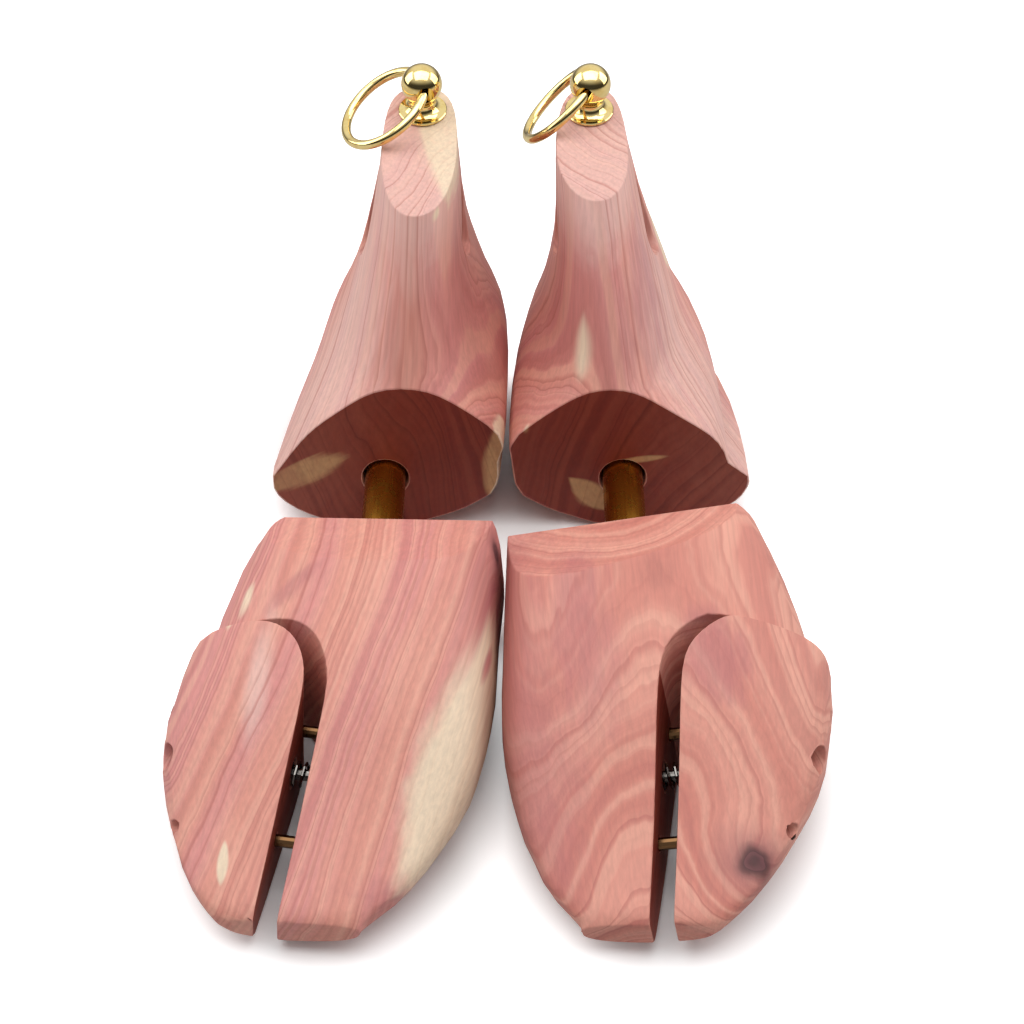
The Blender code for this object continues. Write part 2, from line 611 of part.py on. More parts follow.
def wedge_fittings(tree, cut_frame, brass, steel):
    """The two guide pins, the stop screw and the spring round it."""
    rear, middle, front = hole_lies(tree)
    for label, lie in (("rear", rear), ("front", front)):
        bar = rod(GUIDE_PIN_RADIUS, -GUIDE_PIN_SEAT, GUIDE_PIN_REACH)
        pin = solid(f"{tree.name}_{label}_guide_pin", bar, tree.side, cut_frame, brass)
        place(pin, tree.side, *lie)
    underside = COUNTERBORE_FLOOR + WEDGE_TRAVEL + TOUCH_GAP
    top = underside + SCREW_HEAD_HEIGHT
    deep = -SPRING_POCKET_DEPTH - SCREW_THREAD_DEPTH
    outline = [
        (0, deep), (SCREW_SHANK_RADIUS, deep), (SCREW_SHANK_RADIUS, underside),
        (SCREW_HEAD_RADIUS, underside), (SCREW_HEAD_RADIUS, top), (0, top),
    ]
    screw = solid(tree.name + "_wedge_screw", turned(outline, AROUND_SCREW), tree.side, cut_frame, steel)
    place(screw, tree.side, *middle)
    half = SCREW_SLOT_WIDTH / 2
    reach = COUNTERBORE_RADIUS
    blade_outline = [(-reach, -half), (reach, -half), (reach, half), (-reach, half)]
    blade = prism(blade_outline, top - SCREW_SLOT_DEPTH, top + OVERRUN)
    cut(screw, "slot", blade, tree.side, cut_frame, *middle)
    length = CUT_KERF + WEDGE_TRAVEL + 2 * (SPRING_POCKET_DEPTH - TOUCH_GAP)
    spring = coil(
        tree.name + "_wedge_spring", WEDGE_SPRING_RADIUS, WEDGE_SPRING_WIRE, WEDGE_SPRING_CURLS, length,
        tree.side, cut_frame, steel,
    )
    pocket_end = on_axis(tree, SCREW_SETBACK, SCREW_RISE, TOUCH_GAP - SPRING_POCKET_DEPTH)
    place(spring, tree.side, *pocket_end)


def tube_fittings(tree, frame, toe_frame, toe_piece, brass, steel):
    """The tube with its slots, the two cross pins, the spring's seat and the spring."""
    name, side = tree.name, tree.side
    centre = (tree.tube_offset, 0, TUBE_HEIGHT)
    inner = TUBE_RADIUS - TUBE_WALL
    low = -TOE_SPACING - TUBE_IN_TOE
    outline = [(inner, low), (TUBE_RADIUS, low), (TUBE_RADIUS, TUBE_IN_HEEL), (inner, TUBE_IN_HEEL)]
    tube = solid(name + "_slide_tube", turned(outline, AROUND_TUBE), side, frame, brass)
    place(tube, side, centre, ALONG_Y)
    hole = rod(TUBE_RADIUS + TOUCH_GAP, low - TOUCH_GAP, OVERRUN - TOE_SPACING, AROUND_TUBE)
    cut(toe_piece, "tube_bore", hole, side, frame, centre, ALONG_Y)

    half_slot = CROSS_PIN_RADIUS + TUBE_SLOT_CLEARANCE
    end = STOP_PIN_Y + CROSS_PIN_RADIUS + TOUCH_GAP
    slot = prism(capsule(half_slot, end - TUBE_TRAVEL - 2 * half_slot, end), -TUBE_HEIGHT, TUBE_HEIGHT)
    cut(tube, "stop_slot", slot, side, frame, centre)
    bar = rod(CROSS_PIN_RADIUS, CROSS_PIN_RECESS, STOP_PIN_TOP)
    stop_pin = solid(name + "_stop_pin", bar, side, frame, steel)
    place(stop_pin, side, (tree.tube_offset, STOP_PIN_Y, 0))

    pin_at = (0, -TUBE_PIN_SETBACK, -TUBE_HEIGHT)
    bar = rod(CROSS_PIN_RADIUS, TOE_SOLE_RISE + CROSS_PIN_RECESS, TUBE_PIN_TOP)
    tube_pin = solid(name + "_tube_pin", bar, side, toe_frame, steel)
    place(tube_pin, side, pin_at)
    for piece in (tube, toe_piece):
        hole = rod(CROSS_PIN_RADIUS + TOUCH_GAP, -OVERRUN, TUBE_PIN_TOP + TOUCH_GAP)
        cut(piece, "pin_hole", hole, side, toe_frame, pin_at)

    flange = TUBE_IN_HEEL + TOUCH_GAP
    face = flange + SEAT_FLANGE
    outline = [
        (0, TUBE_IN_HEEL - SEAT_SPIGOT), (inner - TOUCH_GAP, TUBE_IN_HEEL - SEAT_SPIGOT),
        (inner - TOUCH_GAP, flange), (TUBE_RADIUS, flange), (TUBE_RADIUS, face), (0, face),
    ]
    seat = solid(name + "_spring_seat", turned(outline, AROUND_TUBE), side, frame, steel)
    place(seat, side, centre, ALONG_Y)
    length = HEEL_BORE_DEPTH - face - 2 * TOUCH_GAP
    spring = coil(
        name + "_tube_spring", TUBE_SPRING_RADIUS, TUBE_SPRING_WIRE, TUBE_SPRING_CURLS, length,
        side, frame, steel,
    )
    place(spring, side, (tree.tube_offset, face + TOUCH_GAP, TUBE_HEIGHT), ALONG_Y)


def knob_outline():
    """Half of the knob's section: a bell-shaped base, a waist and a ball."""
    points = [(0, KNOB_SCREW_IN_KNOB + 2 * TOUCH_GAP)]
    socket = KNOB_SCREW_RADIUS + TOUCH_GAP
    points += [(socket, KNOB_SCREW_IN_KNOB + 2 * TOUCH_GAP), (socket, TOUCH_GAP)]
    points += [(KNOB_BASE_RADIUS, TOUCH_GAP), (KNOB_BASE_RADIUS, TOUCH_GAP + KNOB_BASE_RIM)]
    rim = TOUCH_GAP + KNOB_BASE_RIM
    for step in range(1, COVE_STEPS + 1):
        angle = math.pi / 2 * step / COVE_STEPS
        radius = KNOB_WAIST_RADIUS + (KNOB_BASE_RADIUS - KNOB_WAIST_RADIUS) * (1 - math.sin(angle))
        points.append((radius, rim + (KNOB_WAIST_HEIGHT - rim) * (1 - math.cos(angle))))
    start = -math.acos(KNOB_WAIST_RADIUS / BALL_RADIUS)
    for step in range(BALL_STEPS):
        angle = start + (math.pi / 2 - start) * step / BALL_STEPS
        points.append((BALL_RADIUS * math.cos(angle), BALL_HEIGHT + BALL_RADIUS * math.sin(angle)))
    return points + [(0, BALL_HEIGHT + BALL_RADIUS)]


def knob_and_ring(tree, knob_frame, brass, steel):
    name, side = tree.name, tree.side
    knob = solid(name + "_knob", turned(knob_outline(), AROUND_KNOB), side, knob_frame, brass)
    hinge = empty(name + "_ring_hinge", knob_frame)
    place(hinge, side, (0, 0, BALL_HEIGHT), (tree.ring_drop, 0, tree.hole_turn))
    hole = rod(RING_HOLE_RADIUS, -2 * BALL_RADIUS, 2 * BALL_RADIUS, AROUND_SCREW)
    cut(knob, "cross_hole", hole, side, hinge, turn=ALONG_X)

    section = bmesh.new()
    circle = bmesh.ops.create_circle(section, segments=AROUND_WIRE, radius=RING_WIRE_RADIUS)
    upright = Matrix.Translation((RING_MEAN_RADIUS, 0, 0)) @ Matrix.Rotation(math.pi / 2, 4, "X")
    bmesh.ops.transform(section, matrix=upright, verts=circle["verts"])
    bmesh.ops.spin(
        section, geom=section.verts[:] + section.edges[:], cent=(0, 0, 0), axis=(0, 0, 1),
        angle=2 * math.pi, steps=AROUND_RING, use_merge=True,
    )
    bmesh.ops.remove_doubles(section, verts=section.verts, dist=TOUCH_GAP / 100)
    bmesh.ops.recalc_face_normals(section, faces=section.faces)
    ring = solid(name + "_pull_ring", section, side, hinge, brass)
    place(ring, side, (0, RING_MEAN_RADIUS - RING_SLACK, 0), (0, tree.ring_lean, 0))

    screw = rod(KNOB_SCREW_RADIUS, -KNOB_SCREW_IN_WOOD, KNOB_SCREW_IN_KNOB + TOUCH_GAP)
    solid(name + "_knob_screw", screw, side, knob_frame, steel)


def shoe_tree(tree, pair, cedar, brass, steel):
    frame = empty(tree.name + "_tree", pair)
    toe_frame = empty(tree.name + "_toe_frame", frame)
    entry = (tree.tube_offset, -TOE_SPACING, TUBE_HEIGHT)
    place(toe_frame, tree.side, entry, (0, -tree.toe_lift, tree.toe_swing))
    cut_frame = empty(tree.name + "_cut_frame", toe_frame)
    place(cut_frame, tree.side, *cut_frame_lie(tree))
    slide = empty(tree.name + "_wedge_slide", cut_frame)
    place(slide, tree.side, on_axis(tree, 0, 0, WEDGE_TRAVEL)[0])
    knob_frame = empty(tree.name + "_knob_frame", frame)
    place(knob_frame, tree.side, facet_point(KNOB_SETBACK), (FACET_RISE, 0, 0))

    heel_block(tree, frame, knob_frame, cedar)
    toe_piece = toe_block(tree, toe_frame, cut_frame, cedar)
    side_wedge(tree, slide, cedar)
    wedge_fittings(tree, cut_frame, brass, steel)
    tube_fittings(tree, frame, toe_frame, toe_piece, brass, steel)
    knob_and_ring(tree, knob_frame, brass, steel)


def centre_pair(pair):
    """Moves the pair so that the origin is the bottom centre of its box."""
    bpy.context.view_layer.update()
    graph = bpy.context.evaluated_depsgraph_get()
    corners = []
    for made in bpy.context.collection.objects:
        if made.type == "EMPTY" or made.hide_render:
            continue
        shown = made.evaluated_get(graph)
        corners += [shown.matrix_world @ vertex.co for vertex in shown.to_mesh().vertices]
        shown.to_mesh_clear()
    low = Vector(min(corner[axis] for corner in corners) for axis in range(3))
    high = Vector(max(corner[axis] for corner in corners) for axis in range(3))
    pair.location = (-(low.x + high.x) / 2, -(low.y + high.y) / 2, -low.z)
    size = 1000 * (high - low)
    print(f"pair: {size.x:.1f} x {size.y:.1f} x {size.z:.1f} mm")


def main():
    for old in list(bpy.data.objects):
        bpy.data.objects.remove(old)
    cedar = material("cedar", (0.69, 0.32, 0.24), 0, 0.55)
    brass = material("brass", (0.80, 0.58, 0.22), 1, 0.2)
    steel = material("steel", (0.55, 0.54, 0.52), 1, 0.3)
    pair = empty("pair_of_trees")
    for tree in TREES:
        shoe_tree(tree, pair, cedar, brass, steel)
    centre_pair(pair)


main()
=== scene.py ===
# %% [markdown]
# # A pair of cedar shoe trees
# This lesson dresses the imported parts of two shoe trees. The wood is sawn and sanded aromatic cedar,
# left bare, with pink heartwood, cream sapwood and a few knots. The knobs and pull rings are polished
# brass, and the tubes, pins and springs are plainer metal. The parts come as one fixed frame, in
# metres, with the toes towards -Y.

# %% Load the parts
import json
import math
from typing import NamedTuple

import bmesh
import bpy
from mathutils import Matrix, Vector


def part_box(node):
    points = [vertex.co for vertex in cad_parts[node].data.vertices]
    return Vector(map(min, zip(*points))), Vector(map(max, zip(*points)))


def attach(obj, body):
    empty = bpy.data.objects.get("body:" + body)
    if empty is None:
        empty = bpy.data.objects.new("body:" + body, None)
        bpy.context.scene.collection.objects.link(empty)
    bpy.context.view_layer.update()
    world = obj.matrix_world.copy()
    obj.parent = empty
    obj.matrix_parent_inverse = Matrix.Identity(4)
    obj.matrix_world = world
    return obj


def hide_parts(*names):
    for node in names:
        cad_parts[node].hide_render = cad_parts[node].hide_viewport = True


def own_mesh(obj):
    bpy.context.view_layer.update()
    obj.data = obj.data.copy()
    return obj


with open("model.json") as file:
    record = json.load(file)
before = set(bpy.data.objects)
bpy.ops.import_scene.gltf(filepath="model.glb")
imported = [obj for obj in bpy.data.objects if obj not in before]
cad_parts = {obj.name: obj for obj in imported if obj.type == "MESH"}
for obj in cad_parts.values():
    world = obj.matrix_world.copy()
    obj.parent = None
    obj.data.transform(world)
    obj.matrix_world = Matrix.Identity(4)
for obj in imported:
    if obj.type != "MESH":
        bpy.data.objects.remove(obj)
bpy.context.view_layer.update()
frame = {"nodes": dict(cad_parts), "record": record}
nodes = frame["nodes"]
body_of = {name: body for body, names in frame["record"]["behaviour"]["bodies"].items() for name in names}

# %% [markdown]
# ## The camera
# The photograph looks down on the pair from the front, a little over half a metre away, so the heel
# blocks at the back look smaller. The lens is set from the size that the pair has in the picture. The
# two shifts slide the picture in the frame without turning the camera.

# %% The camera
PAIR_CENTRE = Vector((0.001688, 0.040496, 0.020))  # between the heel blocks' front faces
CAMERA_DISTANCE = 0.628
SIGHT_SLOPE = math.radians(40)
CAMERA_TILT = math.radians(41)

camera_data = bpy.data.cameras.new("camera")
camera_data.lens = 70.3125
camera_data.sensor_width = 36
camera_data.shift_x = 0.005859
camera_data.shift_y = 0.000889
camera = bpy.data.objects.new("camera", camera_data)
camera.location = PAIR_CENTRE + CAMERA_DISTANCE * Vector((0, -math.cos(SIGHT_SLOPE), math.sin(SIGHT_SLOPE)))
camera.rotation_euler = (math.pi / 2 - CAMERA_TILT, 0, 0)
bpy.context.collection.objects.link(camera)
bpy.context.scene.camera = camera
bpy.context.scene.view_settings.view_transform = "Standard"
print("camera at", [round(value, 3) for value in camera.location])

# %% [markdown]
# ## Wiring nodes in code
# A procedural material is a graph of small nodes. Making each one by hand takes three or four lines, so
# this helper adds a node and connects whatever it is given: a socket is linked, and a number, colour
# or vector is typed into the input.


# %% A helper that wires nodes
class Wiring:
    """Adds nodes to a node tree, each fed by sockets or by plain values."""

    def __init__(self, tree):
        self.tree = tree

    def feed(self, socket, value):
        if isinstance(value, bpy.types.NodeSocket):
            self.tree.links.new(value, socket)
        else:
            socket.default_value = value

    def add(self, kind, inputs=(), **settings):
        node = self.tree.nodes.new(kind)
        for name, value in settings.items():
            setattr(node, name, value)
        pairs = inputs.items() if isinstance(inputs, dict) else enumerate(inputs)
        for key, value in pairs:
            self.feed(node.inputs[key], value)
        return node

    def math(self, operation, *values, clamp=False):
        return self.add("ShaderNodeMath", values, operation=operation, use_clamp=clamp).outputs[0]

    def vector(self, operation, *values):
        return self.add("ShaderNodeVectorMath", values, operation=operation).outputs[0]

    def measure(self, operation, *values):
        """A vector sum whose answer is a number: LENGTH or DOT_PRODUCT."""
        return self.add("ShaderNodeVectorMath", values, operation=operation).outputs["Value"]

    def scaled(self, vector, factor):
        node = self.add("ShaderNodeVectorMath", {"Vector": vector, "Scale": factor}, operation="SCALE")
        return node.outputs[0]

    def noise(self, vector, scale, detail=2.0, roughness=0.5, colour=False, one_way=False):
        node = self.tree.nodes.new("ShaderNodeTexNoise")
        node.noise_dimensions = "1D" if one_way else "3D"
        self.feed(node.inputs["W" if one_way else "Vector"], vector)
        for name, value in (("Scale", scale), ("Detail", detail), ("Roughness", roughness)):
            self.feed(node.inputs[name], value)
        return node.outputs["Color" if colour else "Fac"]

    def spread(self, value, low, high, to_low=0.0, to_high=1.0):
        """Maps a range softly onto another, level at both ends."""
        node = self.add(
            "ShaderNodeMapRange", (value, low, high, to_low, to_high), interpolation_type="SMOOTHSTEP"
        )
        return node.outputs[0]

    def mix(self, share, first, second, blend="MIX"):
        node = self.add("ShaderNodeMix", data_type="RGBA", blend_type=blend)
        for socket, value in ((node.inputs[0], share), (node.inputs[6], first), (node.inputs[7], second)):
            self.feed(socket, value)
        return node.outputs[2]

    def group(self, made, **inputs):
        node = self.tree.nodes.new("ShaderNodeGroup")
        node.node_tree = made
        for name, value in inputs.items():
            self.feed(node.inputs[name], value)
        return node.outputs


def new_group(name, inputs, outputs):
    """A node group with named inputs and outputs, its wiring, its input sockets and its output node."""
    tree = bpy.data.node_groups.new(name, "ShaderNodeTree")
    kinds = {"value": "NodeSocketFloat", "vector": "NodeSocketVector", "colour": "NodeSocketColor"}
    for label, kind in inputs.items():
        tree.interface.new_socket(name=label, in_out="INPUT", socket_type=kinds[kind])
    for label, kind in outputs.items():
        tree.interface.new_socket(name=label, in_out="OUTPUT", socket_type=kinds[kind])
    wiring = Wiring(tree)
    source = tree.nodes.new("NodeGroupInput").outputs
    target = tree.nodes.new("NodeGroupOutput").inputs
    return tree, wiring, source, target


def seen_colour(red, green, blue):
    """A colour as a screen shows it, 0 to 255, turned into the light values that Blender uses."""
    shares = (value / 255 for value in (red, green, blue))
    return (*(s / 12.92 if s <= 0.04045 else ((s + 0.055) / 1.055) ** 2.4 for s in shares), 1)


print("a mid grey of 128 is", round(seen_colour(128, 128, 128)[0], 3))

# %% [markdown]
# ## Cedar: the grain
# A board is a slice of a trunk, so its rings are tubes round the pith, the middle of the trunk. Where a
# sawn or sanded surface cuts them, they show as straight lines, flames or closed loops, all from the same
# sum. So the grain here is solid: each point's distance from the pith, bent a little by a slow noise, gives
# its place in a ring. Each ring darkens slowly and ends sharply, and each is a little wider or darker than
# the next. Stripes and bands follow the rings too, and the fibres are a fine noise, stretched along the
# trunk.

# %% The grain group
grain, wiring, source, target = new_group(
    "cedar_grain",
    {"Position": "vector", "Pith": "vector", "Direction": "vector", "Ring": "value", "Wander": "value",
     "Push": "value"},
    {"Lines": "value", "Stripes": "value", "Bands": "value", "Clouds": "value", "Fibres": "value"},
)
from_pith = wiring.vector("SUBTRACT", source["Position"], source["Pith"])


def squeezed(vector, share):
    """Draws the grain's direction in, so that a noise of the result is stretched along it."""
    along = wiring.measure("DOT_PRODUCT", vector, source["Direction"])
    excess = wiring.math("MULTIPLY", along, 1 - share)
    return wiring.vector("SUBTRACT", vector, wiring.scaled(source["Direction"], excess))


def bent_by(share, scale, detail, reach):
    """How far a noise pushes the rings aside."""
    drift = wiring.noise(squeezed(from_pith, share), scale, detail=detail, colour=True)
    return wiring.scaled(wiring.vector("SUBTRACT", drift, (0.5, 0.5, 0.5)), reach)


slow = bent_by(0.30, 0.020, 1.0, source["Wander"])
quick = bent_by(0.16, 0.11, 2.0, 2.4)
bent = squeezed(wiring.vector("ADD", from_pith, wiring.vector("ADD", slow, quick)), 0)
radius = wiring.math("ADD", wiring.measure("LENGTH", bent), source["Push"])
uneven = wiring.math("MULTIPLY", wiring.noise(radius, 0.12, one_way=True), 11)
count = wiring.math("DIVIDE", wiring.math("ADD", radius, uneven), source["Ring"])
place = wiring.math("FRACT", count)
number = wiring.math("FLOOR", count)
strength = wiring.add("ShaderNodeTexWhiteNoise", {"W": number}, noise_dimensions="1D").outputs["Value"]
rising = wiring.spread(place, 0.30, 0.90)
falling = wiring.spread(place, 0.90, 1.0, 1.0, 0.0)
line = wiring.math("MULTIPLY", wiring.math("MULTIPLY", rising, rising), falling)
wiring.feed(target["Lines"], wiring.math("MULTIPLY", line, wiring.spread(strength, 0, 1, 0.15, 1)))
wiring.feed(target["Stripes"], wiring.noise(wiring.math("ADD", radius, 30), 0.38, detail=3, one_way=True))
wiring.feed(target["Bands"], wiring.noise(wiring.math("ADD", radius, 70), 0.07, detail=2, one_way=True))
wiring.feed(target["Clouds"], wiring.noise(squeezed(from_pith, 0.14), 0.045, detail=3))
wiring.feed(target["Fibres"], wiring.noise(squeezed(from_pith, 0.025), 0.95, detail=4, roughness=0.62))
print("grain group:", len(grain.nodes), "nodes")

# %% [markdown]
# ## Cedar: patches and knots
# Sapwood comes in tongues that run out along the grain, so a patch is a soft spindle, pointed at both ends,
# whose edge is torn by a noise that is stretched along it. A knot is a branch that the rings flow round:
# near its axis it pushes the rings outwards, and inside it has rings of its own and a dark heart.

# %% The patch group and the knot group
patch, wiring, source, target = new_group(
    "wood_patch",
    {"Position": "vector", "Centre": "vector", "Axis": "vector", "Long": "value", "Wide": "value",
     "Torn": "value", "Softness": "value"},
    {"Mask": "value"},
)
offset = wiring.vector("SUBTRACT", source["Position"], source["Centre"])
along = wiring.measure("DOT_PRODUCT", offset, source["Axis"])
across = wiring.vector("SUBTRACT", offset, wiring.scaled(source["Axis"], along))
streak_at = wiring.vector("ADD", across, wiring.scaled(source["Axis"], wiring.math("MULTIPLY", along, 0.05)))
streaks = wiring.math("SUBTRACT", wiring.noise(streak_at, 0.30, detail=2), 0.5)
lengthwise = wiring.math("DIVIDE", along, source["Long"])
crosswise = wiring.math("DIVIDE", wiring.measure("LENGTH", across), source["Wide"])
spindle = wiring.math("ADD", wiring.math("MULTIPLY", lengthwise, lengthwise), crosswise)
edge = wiring.math("ADD", spindle, wiring.math("MULTIPLY", streaks, source["Torn"]))
high = wiring.math("ADD", 1, source["Softness"])
low = wiring.math("SUBTRACT", 1, source["Softness"])
wiring.feed(target["Mask"], wiring.spread(edge, low, high, 1.0, 0.0))

knot, wiring, source, target = new_group(
    "wood_knot",
    {"Position": "vector", "Place": "vector", "Axis": "vector", "Radius": "value", "Push": "value"},
    {"Push": "value", "Heart": "value", "Halo": "value", "Rings": "value"},
)
offset = wiring.vector("SUBTRACT", source["Position"], source["Place"])
wobble = wiring.noise(source["Position"], 0.12, detail=2, colour=True)
wobble = wiring.scaled(wiring.vector("SUBTRACT", wobble, (0.5, 0.5, 0.5)), 5.0)
offset = wiring.vector("ADD", offset, wobble)
along = wiring.scaled(source["Axis"], wiring.measure("DOT_PRODUCT", offset, source["Axis"]))
distance = wiring.measure("LENGTH", wiring.vector("SUBTRACT", offset, along))
share = wiring.math("DIVIDE", distance, source["Radius"])
nearness = wiring.math("EXPONENT", wiring.math("MULTIPLY", wiring.math("MULTIPLY", share, share), -0.18))
wiring.feed(target["Push"], wiring.math("MULTIPLY", nearness, source["Push"]))
wiring.feed(target["Heart"], wiring.spread(share, 0.35, 1.0, 1.0, 0.0))
wiring.feed(target["Halo"], wiring.spread(share, 0.6, 2.0, 1.0, 0.0))
inner = wiring.math("FRACT", wiring.math("MULTIPLY", share, 2.6))
wiring.feed(target["Rings"], wiring.spread(inner, 0.3, 0.95))
print("patch group:", len(patch.nodes), "nodes, knot group:", len(knot.nodes), "nodes")

# %% [markdown]
# ## Cedar: the boards
# Each tree is cut from a few boards. The toe block and its wedge were one piece until the saw parted
# them, so they share a board and their grain runs on across the cut. Places are in millimetres. Some
# patches are painted light and shade rather than wood: pale painted light on the heels' tops and outer
# slopes, cream painted highlights on the right heel, and purple painted shade on the toes' inner sides.


# %% What each board is like
class Patch(NamedTuple):
    centre: tuple
    axis: tuple  # that it is drawn out along
    long: float  # half its length
    wide: float  # half its width
    torn: float = 0.9
    softness: float = 0.15


class Knot(NamedTuple):
    place: tuple
    axis: tuple
    radius: float
    push: float
    shown: float = 1.0  # 0 for a knot that stays below the surface


class Board(NamedTuple):
    pith: tuple
    direction: tuple
    ring: float  # width of a ring
    wander: float
    bloom: tuple  # the colour that it drifts to
    # Some cream patches are painted highlights, some purple ones painted shade and some pale ones painted
    # light.
    sapwood_and_highlights: tuple = ()
    tongues: tuple = ()  # of heartwood, that reach into the sapwood
    purple_and_painted_shade: tuple = ()
    pale_and_painted_light: tuple = ()
    knots: tuple = ()


PINK_BLOOM = (208, 136, 133)
RED_BLOOM = (200, 124, 110)
BOARDS = {
    "left_toe": Board(
        pith=(-330, 0, 150), direction=(-0.15, -0.99, -0.02), ring=1.9, wander=10, bloom=PINK_BLOOM,
        sapwood_and_highlights=(
            Patch((3, -87, 25), (-0.26, -0.96, -0.08), 92, 24.5, torn=0.24, softness=0.16),
            Patch((-71.5, -111, 17), (-0.05, -0.95, -0.25), 7, 1.5, torn=0.3, softness=0.3),
            Patch((-72, -39, 42), (-0.30, -0.93, -0.2), 10, 2.6, torn=0.5, softness=0.3),
        ),
        tongues=(Patch((0, -50, 33), (-0.26, -0.96, 0.07), 19, 3.0, torn=0.4, softness=0.25),),
        purple_and_painted_shade=(
            # Partly painted shade: this purple patch also darkens the inner side of the left toe, where the
            # two trees shade each other.
            Patch((0, -36, 37), (-0.14, -0.98, -0.1), 60, 13, torn=1.2, softness=0.7),
            Patch((-57, -38, 47), (0.72, 0.66, 0.1), 17, 2.4, torn=0.8, softness=0.6),
            Patch((-8, -124, 14), (1, -0.2, 0), 34, 7, torn=0.8, softness=0.7),
        ),
        pale_and_painted_light=(Patch((-66, -72, 36), (-0.15, -0.96, -0.2), 46, 3.2, torn=0.8, softness=0.7),),
        knots=(Knot((-2, -15, 38), (0.8, 0, 0.6), 4.6, -4),),
    ),
    "right_toe": Board(
        pith=(40, 0, 4), direction=(0.03, -0.985, -0.16), ring=2.1, wander=15, bloom=RED_BLOOM,
        purple_and_painted_shade=(
            Patch((58, -62, 44), (0.2, -0.97, -0.1), 17, 9, torn=1.6, softness=0.6),
            Patch((61, -86, 35), (0.29, -0.86, -0.42), 20, 1.3, torn=0.5, softness=0.6),
            Patch((22, -60, 44), (0.05, -0.99, -0.1), 50, 9, torn=1.6, softness=0.8),
            # Partly painted shade: this long purple patch darkens the inner side of the right toe, where the
            # two trees shade each other.
            Patch((1, -55, 28), (0.1, -0.99, -0.1), 110, 17, torn=1.0, softness=0.7),
        ),
        knots=(
            Knot((65.5, -113, 20), (0.5, -0.5, 0.7), 6.6, 7),
            Knot((43, -39, 30), (0, 0.1, 1), 7, 3, shown=0.1),
        ),
    ),
    "left_heel": Board(
        pith=(-190, 150, 0), direction=(0.06, 0.42, 0.91), ring=1.9, wander=32, bloom=PINK_BLOOM,
        sapwood_and_highlights=(
            Patch((-15, 92, 110), (-0.18, 0.97, 0.18), 42, 8.5, torn=1.0, softness=0.25),
            Patch((-20.5, 65.5, 99.5), (-0.67, -0.31, -0.67), 9, 1.1, torn=0.2, softness=0.6),
            Patch((-61, 39, 22), (0.86, 0, 0.5), 17, 4.6, torn=1.1, softness=0.3),
            Patch((4, 40, 24), (0, 0.2, 0.98), 28, 9.5, torn=0.4, softness=0.12),
        ),
        pale_and_painted_light=(
            Patch((-27, 64, 88), (-0.1, 0.42, 0.9), 22, 7, torn=1.2, softness=0.6),
            # Painted light: the next two pale patches lighten the heel's top and its outer slope where the
            # light falls on them; the slope's pale rose is partly the wood's own.
            Patch((-27, 92, 112), (0, 0.98, 0.18), 70, 24, torn=0.5, softness=0.6),
            Patch((-56, 56, 46), (0.3, 0.42, 0.85), 70, 22, torn=1.0, softness=0.7),
        ),
    ),
    "right_heel": Board(
        pith=(170, 190, 0), direction=(-0.05, 0.42, 0.91), ring=2.0, wander=20, bloom=PINK_BLOOM,
        sapwood_and_highlights=(
            Patch((25, 49, 63), (0, 0.44, 0.9), 10, 2.6, torn=0.3, softness=0.9),
            Patch((28.5, 40, 13), (0.7, 0, -0.7), 10, 4.5, torn=0.6, softness=0.2),
            Patch((44, 40, 27.6), (1, 0, 0.15), 9, 1.3, torn=0.5, softness=0.4),
            # Partly painted light: this cream patch by the finger slot is partly cream wood and partly the
            # slot's lit inner wall, painted.
            Patch((51, 104, 76), (0.1, 0.42, 0.9), 30, 7, torn=0.7, softness=0.3),
            # Painted highlight: this thin cream line along the heel's inner side stands for a line of
            # reflected light.
            Patch((8.5, 46, 52), (0.06, 0.42, 0.9), 24, 1.1, torn=0.3, softness=0.6),
        ),
        purple_and_painted_shade=(Patch((42, 62, 68), (0.1, 0.42, 0.9), 34, 10, torn=1.8, softness=0.8),),
        pale_and_painted_light=(
            # Painted light: both pale patches lighten the heel's top and its outer slope where the light falls
            # on them; the slope's pale rose is partly the wood's own.
            Patch((28, 92, 110), (0, 0.98, 0.18), 70, 19, torn=0.5, softness=0.5),
            Patch((64, 62, 50), (-0.3, 0.42, 0.85), 70, 22, torn=1.0, softness=0.7),
        ),
    ),
}
print("boards:", ", ".join(BOARDS))

# %% [markdown]
# ## Cedar: the finish
# The wood is sanded and bare: a soft broad sheen, no varnish. The colour starts from a salmon pink, drifts
# to a tan or purplish pink in slow bands, and darkens at the end of each ring. Faces straight from the saw
# are a deeper, browner red, because the saw leaves the ends of the fibres open and they drink the light, and
# their colour is darker still as painted shade, standing in for the shade that falls on the heels' front
# faces, the toe blocks' backs and the hooked cut. The cut fibres make a faint relief, which a Bump node turns
# into shading. Handling rubs the outer edges pale: the Pointiness of the surface, broken by a noise, says
# where.

# %% Edge wear
edge_wear, wiring, source, target = new_group(
    "edge_wear",
    {"Position": "vector", "Pointiness": "value", "Start": "value", "Size": "value"},
    {"Mask": "value"},
)
ragged = wiring.math("SUBTRACT", wiring.noise(source["Position"], source["Size"]), 0.5)
ragged = wiring.math("MULTIPLY", ragged, 0.08)
reached = wiring.math("ADD", source["Pointiness"], ragged)
full = wiring.math("ADD", source["Start"], 0.06)
wiring.feed(target["Mask"], wiring.spread(reached, source["Start"], full))
print("edge wear group:", len(edge_wear.nodes), "nodes")

# %% The cedar materials
MILLIMETRES = 1000


class Palette(NamedTuple):
    """The colours of one kind of surface, as a screen shows them."""

    body: tuple
    light: tuple
    pale_and_painted_light: tuple
    ring_end: tuple
    cream: tuple
    cream_line: tuple
    purple_and_painted_shade: tuple
    halo: tuple
    heart: tuple


